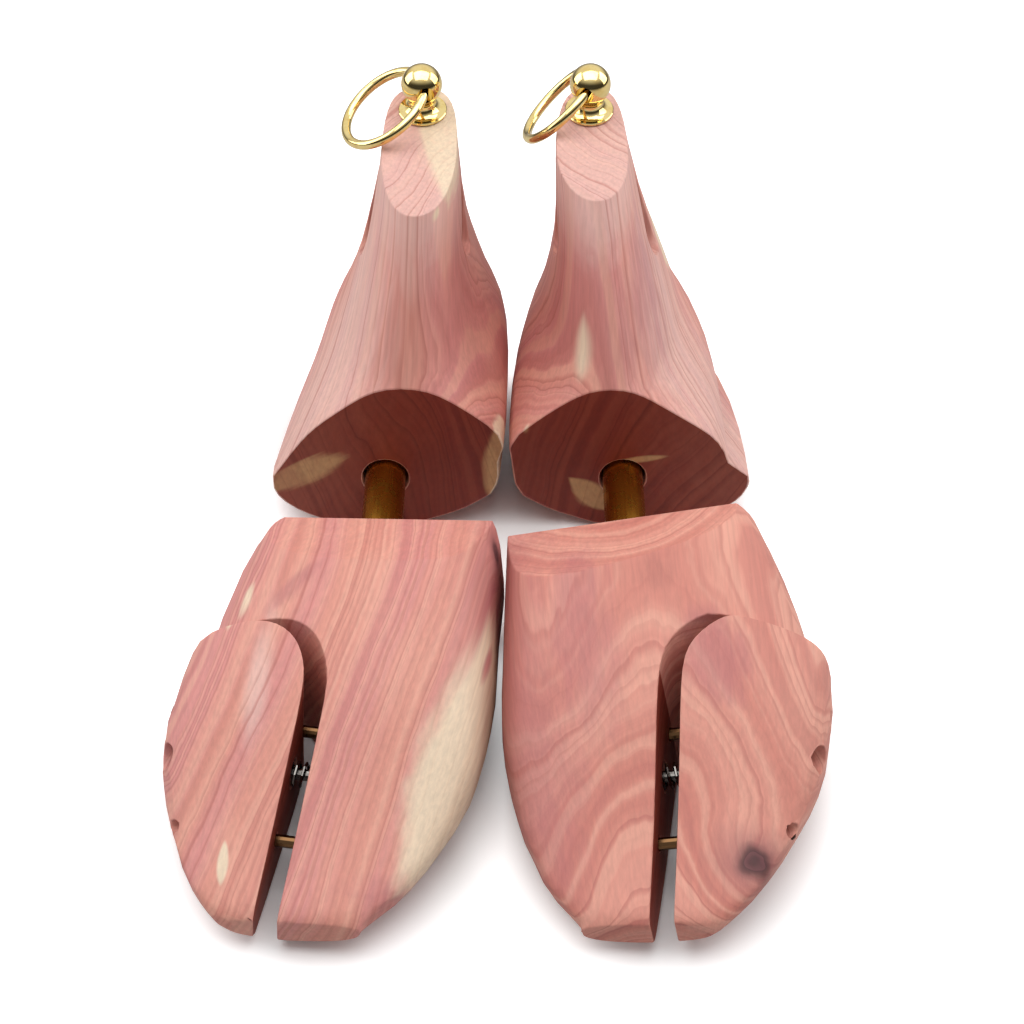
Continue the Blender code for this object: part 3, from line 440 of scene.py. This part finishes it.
# Its purple also serves as painted shade, and its pale as painted light, on the patches that stand for them.
SANDED = Palette(
    body=(216, 147, 131), light=(228, 169, 149), pale_and_painted_light=(228, 192, 182), ring_end=(178, 102, 94),
    cream=(232, 209, 182), cream_line=(214, 180, 150), purple_and_painted_shade=(166, 94, 104), halo=(132, 76, 82),
    heart=(62, 30, 34),
)
# Partly painted shade: the sawn colours are the wood's deeper red where the saw cut it, darkened further to
# stand in for the shade on the heels' front faces, the toe blocks' backs and the hooked cut.
SAWN_AND_PAINTED_SHADE = Palette(
    body=(142, 58, 42), light=(154, 72, 54), pale_and_painted_light=(158, 84, 66), ring_end=(104, 36, 28),
    cream=(206, 158, 112), cream_line=(168, 118, 80), purple_and_painted_shade=(116, 44, 50), halo=(90, 44, 44),
    heart=(60, 32, 32),
)


def new_material(name):
    made = bpy.data.materials.new(name)
    made.use_nodes = True
    shader = made.node_tree.nodes["Principled BSDF"]
    wiring = Wiring(made.node_tree)
    position = wiring.tree.nodes.new("ShaderNodeTexCoord").outputs["Object"]
    pointiness = wiring.tree.nodes.new("ShaderNodeNewGeometry").outputs["Pointiness"]
    return made, wiring, shader, wiring.scaled(position, MILLIMETRES), pointiness


def cedar(name, board, palette):
    made, wiring, shader, position, pointiness = new_material(name)
    tones = Palette(*(seen_colour(*tone) for tone in palette))
    push = 0.0
    knots = []
    for spot in board.knots:
        found = wiring.group(
            knot, Position=position, Place=spot.place, Axis=Vector(spot.axis).normalized(),
            Radius=spot.radius, Push=spot.push,
        )
        push = wiring.math("ADD", push, found["Push"])
        knots.append(found)
    rings = wiring.group(
        grain, Position=position, Pith=board.pith, Direction=Vector(board.direction).normalized(),
        Ring=board.ring, Wander=board.wander, Push=push,
    )

    def masks(patches, strength=1.0):
        total = 0.0
        for spot in patches:
            found = wiring.group(
                patch, Position=position, Centre=spot.centre, Axis=Vector(spot.axis).normalized(),
                Long=spot.long, Wide=spot.wide, Torn=spot.torn, Softness=spot.softness,
            )
            total = wiring.math("MAXIMUM", total, found["Mask"])
        return wiring.math("MULTIPLY", total, strength)

    def share_of(pattern, low, high, strength):
        """How much of a colour a pattern lets in, from none at low to the strength at high."""
        return wiring.math("MULTIPLY", wiring.spread(rings[pattern], low, high), strength)

    bloom = (body * tone / sanded for body, tone, sanded in zip(palette.body, board.bloom, SANDED.body))
    colour = wiring.mix(share_of("Bands", 0.40, 0.62, 0.8), tones.body, seen_colour(*bloom))
    colour = wiring.mix(share_of("Stripes", 0.46, 0.66, 0.55), colour, tones.light)
    colour = wiring.mix(share_of("Clouds", 0.50, 0.72, 0.4), colour, tones.light)
    dark_stripe = wiring.spread(rings["Stripes"], 0.32, 0.48, 1.0, 0.0)
    colour = wiring.mix(wiring.math("MULTIPLY", dark_stripe, 0.30), colour, tones.ring_end)
    # Pale patches: a paler tone of the wood, and on the heels' tops and outer slopes painted light.
    if board.pale_and_painted_light:
        colour = wiring.mix(masks(board.pale_and_painted_light, 0.65), colour, tones.pale_and_painted_light)
    # Purple patches: a purplish tone of the wood, and on the toes' inner sides also painted shade.
    if board.purple_and_painted_shade:
        colour = wiring.mix(masks(board.purple_and_painted_shade, 0.45), colour, tones.purple_and_painted_shade)
    colour = wiring.mix(wiring.math("MULTIPLY", rings["Lines"], 0.58), colour, tones.ring_end)
    # Cream patches: sapwood, and on the right heel also a painted highlight and the painted light in a finger
    # slot.
    if board.sapwood_and_highlights:
        sapwood_and_highlight_colour = wiring.mix(wiring.math("MULTIPLY", rings["Lines"], 0.4), tones.cream, tones.cream_line)
        reach = masks(board.sapwood_and_highlights)
        if board.tongues:
            reach = wiring.math("MULTIPLY", reach, wiring.math("SUBTRACT", 1, masks(board.tongues)))
        colour = wiring.mix(reach, colour, sapwood_and_highlight_colour)
    for spot, found in zip(board.knots, knots):
        dark = wiring.mix(wiring.math("MULTIPLY", found["Rings"], 0.35), tones.heart, tones.halo)
        colour = wiring.mix(wiring.math("MULTIPLY", found["Halo"], 0.5 * spot.shown), colour, tones.halo)
        colour = wiring.mix(wiring.math("MULTIPLY", found["Heart"], 0.92 * spot.shown), colour, dark)
    worn = wiring.group(edge_wear, Position=position, Pointiness=pointiness, Start=0.53, Size=0.5)["Mask"]
    colour = wiring.mix(wiring.math("MULTIPLY", worn, 0.35), colour, tones.light)
    shade = wiring.spread(rings["Fibres"], 0.25, 0.75, 0.90, 1.07)
    colour = wiring.mix(1.0, colour, wiring.vector("MULTIPLY", (1, 1, 1), shade), "MULTIPLY")
    wiring.feed(shader.inputs["Base Color"], colour)
    satin = wiring.spread(rings["Fibres"], 0.2, 0.8, 0.50, 0.62)
    satin = wiring.math("SUBTRACT", satin, wiring.math("MULTIPLY", worn, 0.08))
    wiring.feed(shader.inputs["Roughness"], satin)
    shader.inputs["Specular IOR Level"].default_value = 0.35
    grooves = wiring.math("SUBTRACT", rings["Fibres"], wiring.math("MULTIPLY", rings["Lines"], 0.3))
    relief = wiring.add("ShaderNodeBump", {"Strength": 0.35, "Distance": 0.0002, "Height": grooves})
    wiring.feed(shader.inputs["Normal"], relief.outputs[0])
    print(name, "has", len(made.node_tree.nodes), "nodes")
    return made


cedars = {
    name: (cedar("sanded_" + name, board, SANDED), cedar("sawn_painted_shade_" + name, board, SAWN_AND_PAINTED_SHADE))
    for name, board in BOARDS.items()
}

# %% [markdown]
# ## Metals
# The knob and ring are cast or bent, then polished and lacquered, so they mirror the room, with only a
# faint unevenness. The tube is drawn brass that has gone brown in patches, and the wedge's guide pins are a
# darker brass, darkened further as painted shade for the dark cut that they sit in. Springs, cross pins and
# screws are grey steel with a fine grain from drawing and turning, also darkened as painted shade for the
# gaps that they sit in. One group gives them all their small marks.

# %% The marks group and the metals
marks, wiring, source, target = new_group(
    "metal_marks",
    {"Position": "vector", "Stretch": "vector", "Size": "value"},
    {"Scratches": "value", "Stains": "value"},
)
drawn = wiring.vector("MULTIPLY", source["Position"], source["Stretch"])
wiring.feed(target["Scratches"], wiring.noise(drawn, source["Size"], detail=4, roughness=0.65))
wiring.feed(target["Stains"], wiring.noise(source["Position"], 0.32, detail=5, roughness=0.62))


def metal(name, clean, stained, amount, shine, stretch, size):
    """Clean and stained colours, how much is stained, the roughness from clean to stained, and its marks."""
    made, wiring, shader, position, pointiness = new_material(name)
    found = wiring.group(marks, Position=position, Stretch=stretch, Size=size)
    rubbed = wiring.group(edge_wear, Position=position, Pointiness=pointiness, Start=0.54, Size=1.5)["Mask"]
    stain = wiring.math("MULTIPLY", wiring.spread(found["Stains"], 0.42, 0.66), amount)
    stain = wiring.math("SUBTRACT", stain, wiring.math("MULTIPLY", rubbed, 0.5), clamp=True)
    wiring.feed(shader.inputs["Base Color"], wiring.mix(stain, clean, stained))
    scratched = wiring.math("MULTIPLY", wiring.math("SUBTRACT", found["Scratches"], 0.5), 0.08)
    dull = wiring.spread(stain, 0, 1, *shine)
    wiring.feed(shader.inputs["Roughness"], wiring.math("ADD", dull, scratched, clamp=True))
    shader.inputs["Metallic"].default_value = 1.0
    relief = wiring.add(
        "ShaderNodeBump", {"Strength": 0.12, "Distance": 0.00005, "Height": found["Scratches"]}
    )
    wiring.feed(shader.inputs["Normal"], relief.outputs[0])
    return made


polished_brass = metal(
    "polished_brass", seen_colour(240, 216, 148), seen_colour(224, 186, 104), 0.5, (0.07, 0.13),
    (1, 1, 1), 0.6,
)
tube_brass = metal(
    "tube_brass", seen_colour(176, 124, 42), seen_colour(92, 56, 14), 0.9, (0.26, 0.42), (1, 0.05, 1), 1.4
)
# Painted shade: the guide pins' dull brass is darkened further to stand in for the shade in the cut where they
# sit.
pin_brass_with_painted_shade = metal(
    "pin_brass_with_painted_shade", seen_colour(104, 76, 50), seen_colour(66, 46, 30), 0.5, (0.18, 0.3), (0.1, 1, 1), 1.5
)
# Painted shade: this grey steel is darkened to stand in for the shade in the gaps where the screws, pins and
# springs sit.
steel_with_painted_shade = metal(
    "steel_with_painted_shade", seen_colour(120, 116, 112), seen_colour(80, 76, 72), 0.5, (0.22, 0.34), (1, 1, 1), 1.2
)
print("metals:", polished_brass.name, tube_brass.name, pin_brass_with_painted_shade.name, steel_with_painted_shade.name)

# %% [markdown]
# ## The wooden blocks
# A block straight from the boolean cuts has edges as sharp as a razor, and no wooden thing does: sandpaper
# takes off half a millimetre, and that small round catches the light. A Bevel modifier would do, but here
# bmesh does the same in code, so that only the sharp outward edges are chosen. Tiny slivers are merged first,
# because a bevel runs wild on an edge that is shorter than itself, and the imported block's ripples are sanded
# out. The faces that the saw left are found by the way they face, and get the sawn finish, whose darker colour
# is partly painted shade.

# %% Ease the edges of a block
SAME_PLACE = 0.00001  # two vertices this close are one
FLAT_ANGLE = math.radians(0.5)  # two faces this close to flat are one
SHORTEST_EDGE = 0.0009
EDGE_ROUND = 0.0004
RIM_ANGLE = math.radians(27)  # where two faces meet in an edge that sandpaper has to round
SHADE_ANGLE = math.radians(35)  # where shading breaks
ON_PLANE = 0.00002
TIP_Y = -0.108  # the toes' tips lie beyond
BETWEEN_TREES = 0.006  # from the middle to where the trees come close
SAND_PASSES = 16
SAND_IN = 0.5  # the share of the way to the middle of a vertex's neighbours
SAND_BACK = -0.53  # and the share of the way back out
HEEL_FACE = PAIR_CENTRE.y


def is_sharp(edge):
    return edge.is_manifold and edge.calc_face_angle() > RIM_ANGLE


def weld_short_edges(bm):
    """Merges the ends of edges that are too short for the bevel, and never moves a rim off its face."""
    merged = {}
    for edge in sorted(bm.edges, key=lambda edge: edge.calc_length()):
        if edge.calc_length() > SHORTEST_EDGE:
            break
        first, second = sorted(edge.verts, key=lambda vert: -sum(is_sharp(e) for e in vert.link_edges))
        if first not in merged and second not in merged and second not in merged.values():
            merged[second] = first
    bmesh.ops.weld_verts(bm, targetmap=merged)


def sand(bm, passes):
    """Evens out ripples: each vertex moves half way to the middle of its neighbours, and then a little
    further back, so that the block doesn't shrink.

    A vertex on a rim looks only along the rim, and the sole and the heel's sawn face stay flat. The blunt
    tips of the toes, where several narrow faces meet, and the sides where the two trees come close are left
    as they are.
    """
    on_sole = [vert for vert in bm.verts if vert.co.z < ON_PLANE]
    on_face = [vert for vert in bm.verts if abs(vert.co.y - HEEL_FACE) < ON_PLANE]
    around = {}
    for vert in bm.verts:
        if vert.co.y < TIP_Y or abs(vert.co.x - PAIR_CENTRE.x) < BETWEEN_TREES:
            continue
        rims = [edge for edge in vert.link_edges if is_sharp(edge)]
        edges = rims if len(rims) == 2 else [] if rims else vert.link_edges
        around[vert] = [edge.other_vert(vert) for edge in edges]
    for step in range(2 * passes):
        share = SAND_IN if step % 2 == 0 else SAND_BACK
        middles = {
            vert: sum((near.co for near in nearby), Vector()) / len(nearby)
            for vert, nearby in around.items() if nearby
        }
        for vert, middle in middles.items():
            vert.co += share * (middle - vert.co)
        for vert in on_sole:
            vert.co.z = 0.0
        for vert in on_face:
            vert.co.y = HEEL_FACE


def eased(source, saw_marks):
    """A packed block's mesh with its outward edges rounded, and material 1 on the faces that the saw left."""
    bm = bmesh.new()
    bm.from_mesh(source.data)
    bmesh.ops.remove_doubles(bm, verts=bm.verts, dist=SAME_PLACE)
    bmesh.ops.dissolve_limit(bm, angle_limit=FLAT_ANGLE, verts=bm.verts, edges=bm.edges)
    weld_short_edges(bm)
    sand(bm, SAND_PASSES)
    bmesh.ops.recalc_face_normals(bm, faces=bm.faces)
    outer = [edge for edge in bm.edges if is_sharp(edge) and edge.is_convex]
    bmesh.ops.bevel(
        bm, geom=outer, offset=EDGE_ROUND, segments=2, profile=0.5, affect="EDGES", clamp_overlap=False,
        loop_slide=False,
    )
    for face in bm.faces:
        face.smooth = True
        centre = face.calc_center_median()
        face.material_index = int(any(is_sawn(centre, face.normal) for is_sawn in saw_marks))
    mesh = bpy.data.meshes.new(source.name)
    bm.to_mesh(mesh)
    bm.free()
    mesh.set_sharp_from_angle(angle=SHADE_ANGLE)
    return mesh


# %% Where the saw went
SQUARE_TO_CUT = {"left": Vector((0.98665, -0.14713, -0.06984)), "right": Vector((0.96944, -0.15458, 0.19048))}
CUT_AT = {"left": Vector((-0.038339, -0.00429, 0.013852)), "right": Vector((0.057002, -0.005484, 0.015134))}
OUTWARD = {"left": -1, "right": 1}
WEDGE_FACE = 0.0062  # how far the wedge's sawn face stands from the cut's plane
CUT_MARGIN = 0.001
SQUARELY = 0.99  # the least cosine of a face that lies along a plane
BACKWARD = 0.98  # and of a toe block's back, which is turned a few degrees


def sawn_heel(centre, normal):
    return abs(normal.y) > SQUARELY and abs(centre.y - HEEL_FACE) < EDGE_ROUND


def sawn_back(centre, normal):
    return normal.y > BACKWARD


def sawn_cut(side):
    """The flat faces on both sides of the hooked cut."""

    def is_sawn(centre, normal):
        beyond = OUTWARD[side] * (centre - CUT_AT[side]).dot(SQUARE_TO_CUT[side])
        along = abs(normal.dot(SQUARE_TO_CUT[side])) > SQUARELY
        return along and -CUT_MARGIN < beyond < WEDGE_FACE + CUT_MARGIN

    return is_sawn


print("the heel blocks are sawn off at y =", round(HEEL_FACE, 4))

# %% The six blocks
for side in OUTWARD:
    for piece, board, saw_marks in (
        ("heel_block", "heel", (sawn_heel,)),
        ("toe_block", "toe", (sawn_back, sawn_cut(side))),
        ("side_wedge", "toe", (sawn_cut(side),)),
    ):
        name = side + "_" + piece
        block = bpy.data.objects.new(name + "_wood", eased(nodes[name], saw_marks))
        bpy.context.collection.objects.link(block)
        for finish in cedars[side + "_" + board]:
            block.data.materials.append(finish)
        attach(block, body_of[name])
        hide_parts(name)
        even = block.modifiers.new("even_shading", "WEIGHTED_NORMAL")
        even.keep_sharp = True
        sawn = sum(face.material_index for face in block.data.polygons)
        print(block.name, "has", len(block.data.polygons), "faces,", sawn, "of them sawn")

# %% [markdown]
# ## Knobs and rings
# Polished metal shows every flat facet in its reflections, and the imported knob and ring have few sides. So
# both are made again, with many more, round the axis that the ring swings on. The knob is one outline,
# spun about the upright, with a Boolean modifier for its cross hole, applied at once. The ring is a circle
# spun into a torus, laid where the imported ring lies.

# %% Measure where knob and ring sit
FACET_UP = Vector((0, -0.18224, 0.98325))  # square to the sanded facet that the knob stands on
KNOB_BASE_RADIUS = 0.0075
KNOB_BASE_RIM = 0.0009
KNOB_WAIST_RADIUS = 0.0037
KNOB_WAIST_HEIGHT = 0.0045
BALL_RADIUS = 0.0063
BALL_HEIGHT = 0.0107
RING_HOLE_RADIUS = 0.0028
RING_MEAN_RADIUS = 0.0145
RING_WIRE_RADIUS = 0.0015
GAP = 0.0003
AROUND_KNOB = 72
AROUND_BORE = 48
AROUND_RING = 120
AROUND_WIRE = 20
WAIST_STEPS = 12
BALL_STEPS = 28
swings = {
    joint["name"]: (Vector(joint["pos_m"]), Vector(joint["axis"]))
    for joint in frame["record"]["behaviour"]["joints"] if joint["name"].endswith("ring_swing")
}
print("the rings swing at", {name: [round(v, 4) for v in at] for name, (at, axis) in swings.items()})


# %% Helpers for round metal
def put_in_order(bm):
    """Sorts vertices, edges and faces by where they are, as a merge leaves them in another order each run."""
    for elements, place in (
        (bm.verts, lambda vert: vert.co),
        (bm.edges, lambda edge: edge.verts[0].co + edge.verts[1].co),
        (bm.faces, lambda face: face.calc_center_median()),
    ):
        in_line = sorted(elements, key=lambda element: tuple(round(share, 7) for share in place(element)))
        rank = {element: number for number, element in enumerate(in_line)}
        elements.sort(key=rank.get)


def spun(points, steps, closed):
    """Spins an outline of (x, z) points about Z."""
    bm = bmesh.new()
    verts = [bm.verts.new((x, 0, z)) for x, z in points]
    ends = verts[1:] + verts[:1] if closed else verts[1:]
    edges = [bm.edges.new(pair) for pair in zip(verts, ends)]
    bmesh.ops.spin(
        bm, geom=verts + edges, cent=(0, 0, 0), axis=(0, 0, 1), angle=2 * math.pi, steps=steps, use_merge=True
    )
    bmesh.ops.remove_doubles(bm, verts=bm.verts, dist=GAP / 100)
    bmesh.ops.recalc_face_normals(bm, faces=bm.faces)
    put_in_order(bm)
    return bm


def linked(name, bm, finish, lie):
    """Makes an object of a mesh, laid in a frame."""
    mesh = bpy.data.meshes.new(name)
    bm.transform(lie)
    bm.to_mesh(mesh)
    bm.free()
    mesh.shade_smooth()
    mesh.set_sharp_from_angle(angle=SHADE_ANGLE)
    mesh.materials.append(finish)
    made = bpy.data.objects.new(name, mesh)
    bpy.context.collection.objects.link(made)
    return made


def upright_on(place, up, along):
    """A frame at a place, with Z up and X as near as can be to a given direction."""
    up = up.normalized()
    x = (along - up * along.dot(up)).normalized()
    lie = Matrix((x, up.cross(x), up)).transposed().to_4x4()
    lie.translation = place
    return lie


# %% The knobs
def knob_outline():
    """A bell-shaped base with an eased rim, a waist and a ball, as (radius, height)."""
    ease = 0.25 * KNOB_BASE_RIM
    points = [(0, GAP), (KNOB_BASE_RADIUS - ease, GAP), (KNOB_BASE_RADIUS, GAP + ease)]
    rim = GAP + KNOB_BASE_RIM
    points += [(KNOB_BASE_RADIUS, rim - ease), (KNOB_BASE_RADIUS - ease, rim)]
    flare = KNOB_BASE_RADIUS - 2 * ease - KNOB_WAIST_RADIUS
    for step in range(1, WAIST_STEPS + 1):
        angle = math.pi / 2 * step / WAIST_STEPS
        radius = KNOB_WAIST_RADIUS + flare * (1 - math.sin(angle))
        points.append((radius, rim + (KNOB_WAIST_HEIGHT - rim) * (1 - math.cos(angle))))
    start = -math.acos(KNOB_WAIST_RADIUS / BALL_RADIUS)
    for step in range(1, BALL_STEPS):
        angle = start + (math.pi / 2 - start) * step / BALL_STEPS
        points.append((BALL_RADIUS * math.cos(angle), BALL_HEIGHT + BALL_RADIUS * math.sin(angle)))
    return points + [(0, BALL_HEIGHT + BALL_RADIUS)]


for side in OUTWARD:
    at, axis = swings[side + "_ring_swing"]
    base = at - BALL_HEIGHT * FACET_UP
    knob_lie = upright_on(base, FACET_UP, axis)
    turning = spun(knob_outline(), AROUND_KNOB, False)
    turned_knob = linked(side + "_turned_knob", turning, polished_brass, knob_lie)
    drill = bmesh.new()
    bmesh.ops.create_cone(
        drill, cap_ends=True, segments=AROUND_BORE, radius1=RING_HOLE_RADIUS, radius2=RING_HOLE_RADIUS,
        depth=4 * BALL_RADIUS,
    )
    drill_lie = axis.to_track_quat("Z", "Y").to_matrix().to_4x4()
    drill_lie.translation = at
    drill_piece = linked("drill", drill, polished_brass, drill_lie)
    bore = turned_knob.modifiers.new("cross_hole", "BOOLEAN")
    bore.operation = "DIFFERENCE"
    bore.solver = "EXACT"
    bore.object = drill_piece
    bpy.context.view_layer.update()
    graph = bpy.context.evaluated_depsgraph_get()
    bored = bpy.data.meshes.new_from_object(turned_knob.evaluated_get(graph))
    turned_knob.modifiers.clear()
    turned_knob.data = bored
    bored.set_sharp_from_angle(angle=SHADE_ANGLE)
    bpy.data.objects.remove(drill_piece)
    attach(turned_knob, side + "_heel")
    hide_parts(side + "_knob")
    print(turned_knob.name, "has", len(bored.polygons), "faces")

# %% The rings
RING_CENTRE = {
    "left": Vector((-0.035637, 0.105863, 0.113839)), "right": Vector((0.018693, 0.11202, 0.111841)),
}
RING_NORMAL = {"left": Vector((-0.52263, -0.1685, 0.83574)), "right": Vector((-0.69847, 0.11365, 0.70656))}
for side in OUTWARD:
    wire = [
        (RING_MEAN_RADIUS + RING_WIRE_RADIUS * math.cos(angle), RING_WIRE_RADIUS * math.sin(angle))
        for angle in (2 * math.pi * step / AROUND_WIRE for step in range(AROUND_WIRE))
    ]
    ring_lie = upright_on(RING_CENTRE[side], RING_NORMAL[side], Vector((1, 0, 0)))
    bent_ring = linked(side + "_bent_ring", spun(wire, AROUND_RING, True), polished_brass, ring_lie)
    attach(bent_ring, side + "_ring")
    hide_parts(side + "_pull_ring")
    low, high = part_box(side + "_pull_ring")
    off_by = ((Vector(low) + Vector(high)) / 2 - RING_CENTRE[side]).length
    print(bent_ring.name, "lies", round(MILLIMETRES * off_by, 2), "mm off the packed ring")

# %% [markdown]
# ## Dressing the other metal parts
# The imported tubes, pins, spring seats and screws keep their shapes here and get their finishes. The springs
# get theirs too, before the next step copies them.

# %% Give each metal part its finish
FINISHES = {
    "slide_tube": tube_brass, "front_guide_pin": pin_brass_with_painted_shade, "rear_guide_pin": pin_brass_with_painted_shade,
    "stop_pin": steel_with_painted_shade, "tube_pin": steel_with_painted_shade, "tube_spring": steel_with_painted_shade,
    "wedge_spring": steel_with_painted_shade, "spring_seat": steel_with_painted_shade, "wedge_screw": steel_with_painted_shade,
    "knob_screw": steel_with_painted_shade,
}
dressed = 0
for name, part in nodes.items():
    piece = name.split("_", 1)[1]
    if piece in FINISHES:
        part.data.materials.clear()
        part.data.materials.append(FINISHES[piece])
        part.data.shade_smooth()
        part.data.set_sharp_from_angle(angle=SHADE_ANGLE)
        dressed += 1
print("dressed", dressed, "of", len(nodes), "parts")

# %% [markdown]
# ## The springs
# Pushing a toe block or a wedge in shortens the spring behind it, and a rigid copy would pass through its
# seat then. Here each spring gets a mesh of its own, copied from the imported one and laid on the body it
# rides with, and its length along the joint's direction and the joint's travel are measured.

# %% Springs with meshes of their own
joints = {joint["name"]: joint for joint in frame["record"]["behaviour"]["joints"]}
for side in OUTWARD:
    for piece, motion in (("tube_spring", "toe_slide"), ("wedge_spring", "wedge_slide")):
        name = side + "_" + piece
        joint = joints[side + "_" + motion]
        furthest = max(joint["range_m"], key=abs)
        inward = Vector(joint["axis"]).normalized() * math.copysign(1, furthest)
        travel = abs(furthest)
        spring = bpy.data.objects.new(name + "_wire", nodes[name].data.copy())
        bpy.context.collection.objects.link(spring)
        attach(spring, body_of[name])
        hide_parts(name)
        ends = [pick((vert.co for vert in spring.data.vertices), key=inward.dot) for pick in (min, max)]
        length = (ends[1] - ends[0]).dot(inward)
        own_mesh(spring)
        sizes = [round(MILLIMETRES * value, 1) for value in (length, travel)]
        print(spring.name, "is", sizes[0], "mm long and closes up by", sizes[1])

# %% [markdown]
# ## Floor and light
# The pair stands on a white sheet. One large soft lamp hangs above it, so the tops are bright and the faces
# towards the camera are darker, and two weaker ones fill from the sides. The floor shows nearly white
# through the Is Camera Ray switch, which adds nothing to the light on the wood, and it still takes the
# soft shadow. That glow fades out under and around the blocks, a painted shadow on the floor, so the
# narrow gaps between them stay dark.

# %% The floor
FLOOR_HALF_WIDTH = 3.0
FLOOR_DROP = 0.0002  # just under the soles, so that the two never flicker
FAR_AWAY = 10.0
# Painted shadow: the floor's glow fades out round these footprints, so the floor is darker under and around
# the blocks.
PAINTED_SHADOW_FOOTPRINTS = (  # where the blocks stand: the middle, half the width and half the length
    (-0.045, -0.065, 0.042, 0.064), (0.047, -0.065, 0.042, 0.064),
    (-0.036, 0.080, 0.040, 0.050), (0.041, 0.080, 0.040, 0.050), (0.002, 0.050, 0.020, 0.060),
)

floor_mesh = bpy.data.meshes.new("floor")
floor_bm = bmesh.new()
bmesh.ops.create_grid(floor_bm, x_segments=1, y_segments=1, size=FLOOR_HALF_WIDTH)
floor_bm.to_mesh(floor_mesh)
floor_bm.free()
floor = bpy.data.objects.new("floor", floor_mesh)
floor.location.z = -FLOOR_DROP
bpy.context.collection.objects.link(floor)

paper = bpy.data.materials.new("white_sheet")
paper.use_nodes = True
paper_wiring = Wiring(paper.node_tree)
paper_shader = paper.node_tree.nodes["Principled BSDF"]
rays = paper.node_tree.nodes.new("ShaderNodeLightPath").outputs
sheet_place = paper.node_tree.nodes.new("ShaderNodeTexCoord").outputs["Object"]
to_pair = FAR_AWAY
for x, y, half_width, half_length in PAINTED_SHADOW_FOOTPRINTS:
    off = paper_wiring.vector("SUBTRACT", sheet_place, (x, y, 0))
    off = paper_wiring.vector("MULTIPLY", off, (1 / half_width, 1 / half_length, 0))
    to_pair = paper_wiring.math("MINIMUM", to_pair, paper_wiring.measure("LENGTH", off))
# Painted shadow: under and near the blocks the floor's glow drops almost to nothing, and away from them it
# rises to show the sheet white.
glow_with_painted_shadow = paper_wiring.spread(to_pair, 0.82, 1.30, 0.02, 0.50)
glow_with_painted_shadow = paper_wiring.math("MULTIPLY", rays["Is Camera Ray"], glow_with_painted_shadow)
paper_wiring.feed(paper_shader.inputs["Emission Strength"], glow_with_painted_shadow)
sheet_colour = paper_wiring.mix(rays["Is Camera Ray"], (0.62, 0.61, 0.61, 1), (0.97, 0.965, 0.965, 1))
paper_wiring.feed(paper_shader.inputs["Base Color"], sheet_colour)
paper_shader.inputs["Roughness"].default_value = 0.9
paper_shader.inputs["Specular IOR Level"].default_value = 0.0
paper_shader.inputs["Emission Color"].default_value = (1, 1, 1, 1)
floor_mesh.materials.append(paper)

# %% The lamps and the world


def soft_lamp(name, place, aim, width, depth, power):
    """A rectangular lamp that faces a point, in metres and watts."""
    data = bpy.data.lights.new(name, "AREA")
    data.shape = "RECTANGLE"
    data.size = width
    data.size_y = depth
    data.energy = power
    lamp = bpy.data.objects.new(name, data)
    lamp.location = place
    lamp.rotation_euler = (Vector(aim) - Vector(place)).to_track_quat("-Z", "Y").to_euler()
    bpy.context.collection.objects.link(lamp)


soft_lamp("overhead_lamp", (0.0, -0.08, 0.98), (0, 0, 0.03), 1.3, 0.9, 8.6)
soft_lamp("left_lamp", (-0.85, 0.22, 0.5), (0, 0, 0.05), 0.7, 0.7, 3.9)
soft_lamp("right_lamp", (0.85, 0.22, 0.5), (0, 0, 0.05), 0.7, 0.7, 3.9)

ROOM_LIGHT = 0.20  # what the room adds to the light on the wood
TO_CEILING = (0, 0.25, 0.97)  # where the brightest part of the room is, as polished metal mirrors it

world = bpy.data.worlds.new("white_room")
world.use_nodes = True
bpy.context.scene.world = world
room = Wiring(world.node_tree)
world_rays = world.node_tree.nodes.new("ShaderNodeLightPath").outputs
seen = room.math("MAXIMUM", world_rays["Is Camera Ray"], world_rays["Is Transmission Ray"])
outlook = world.node_tree.nodes.new("ShaderNodeTexCoord").outputs["Generated"]
upward = room.measure("DOT_PRODUCT", outlook, TO_CEILING)
mirrored = room.math("MULTIPLY", world_rays["Is Glossy Ray"], room.spread(upward, 0.05, 0.75, 0.05, 0.95))
plain = room.math("MULTIPLY", world_rays["Is Diffuse Ray"], ROOM_LIGHT)
brightness = room.math("MAXIMUM", room.math("MAXIMUM", seen, mirrored), plain)
background = world.node_tree.nodes["Background"]
background.inputs["Color"].default_value = (1, 1, 1, 1)
room.feed(background.inputs["Strength"], brightness)
print("lamps and world are set")
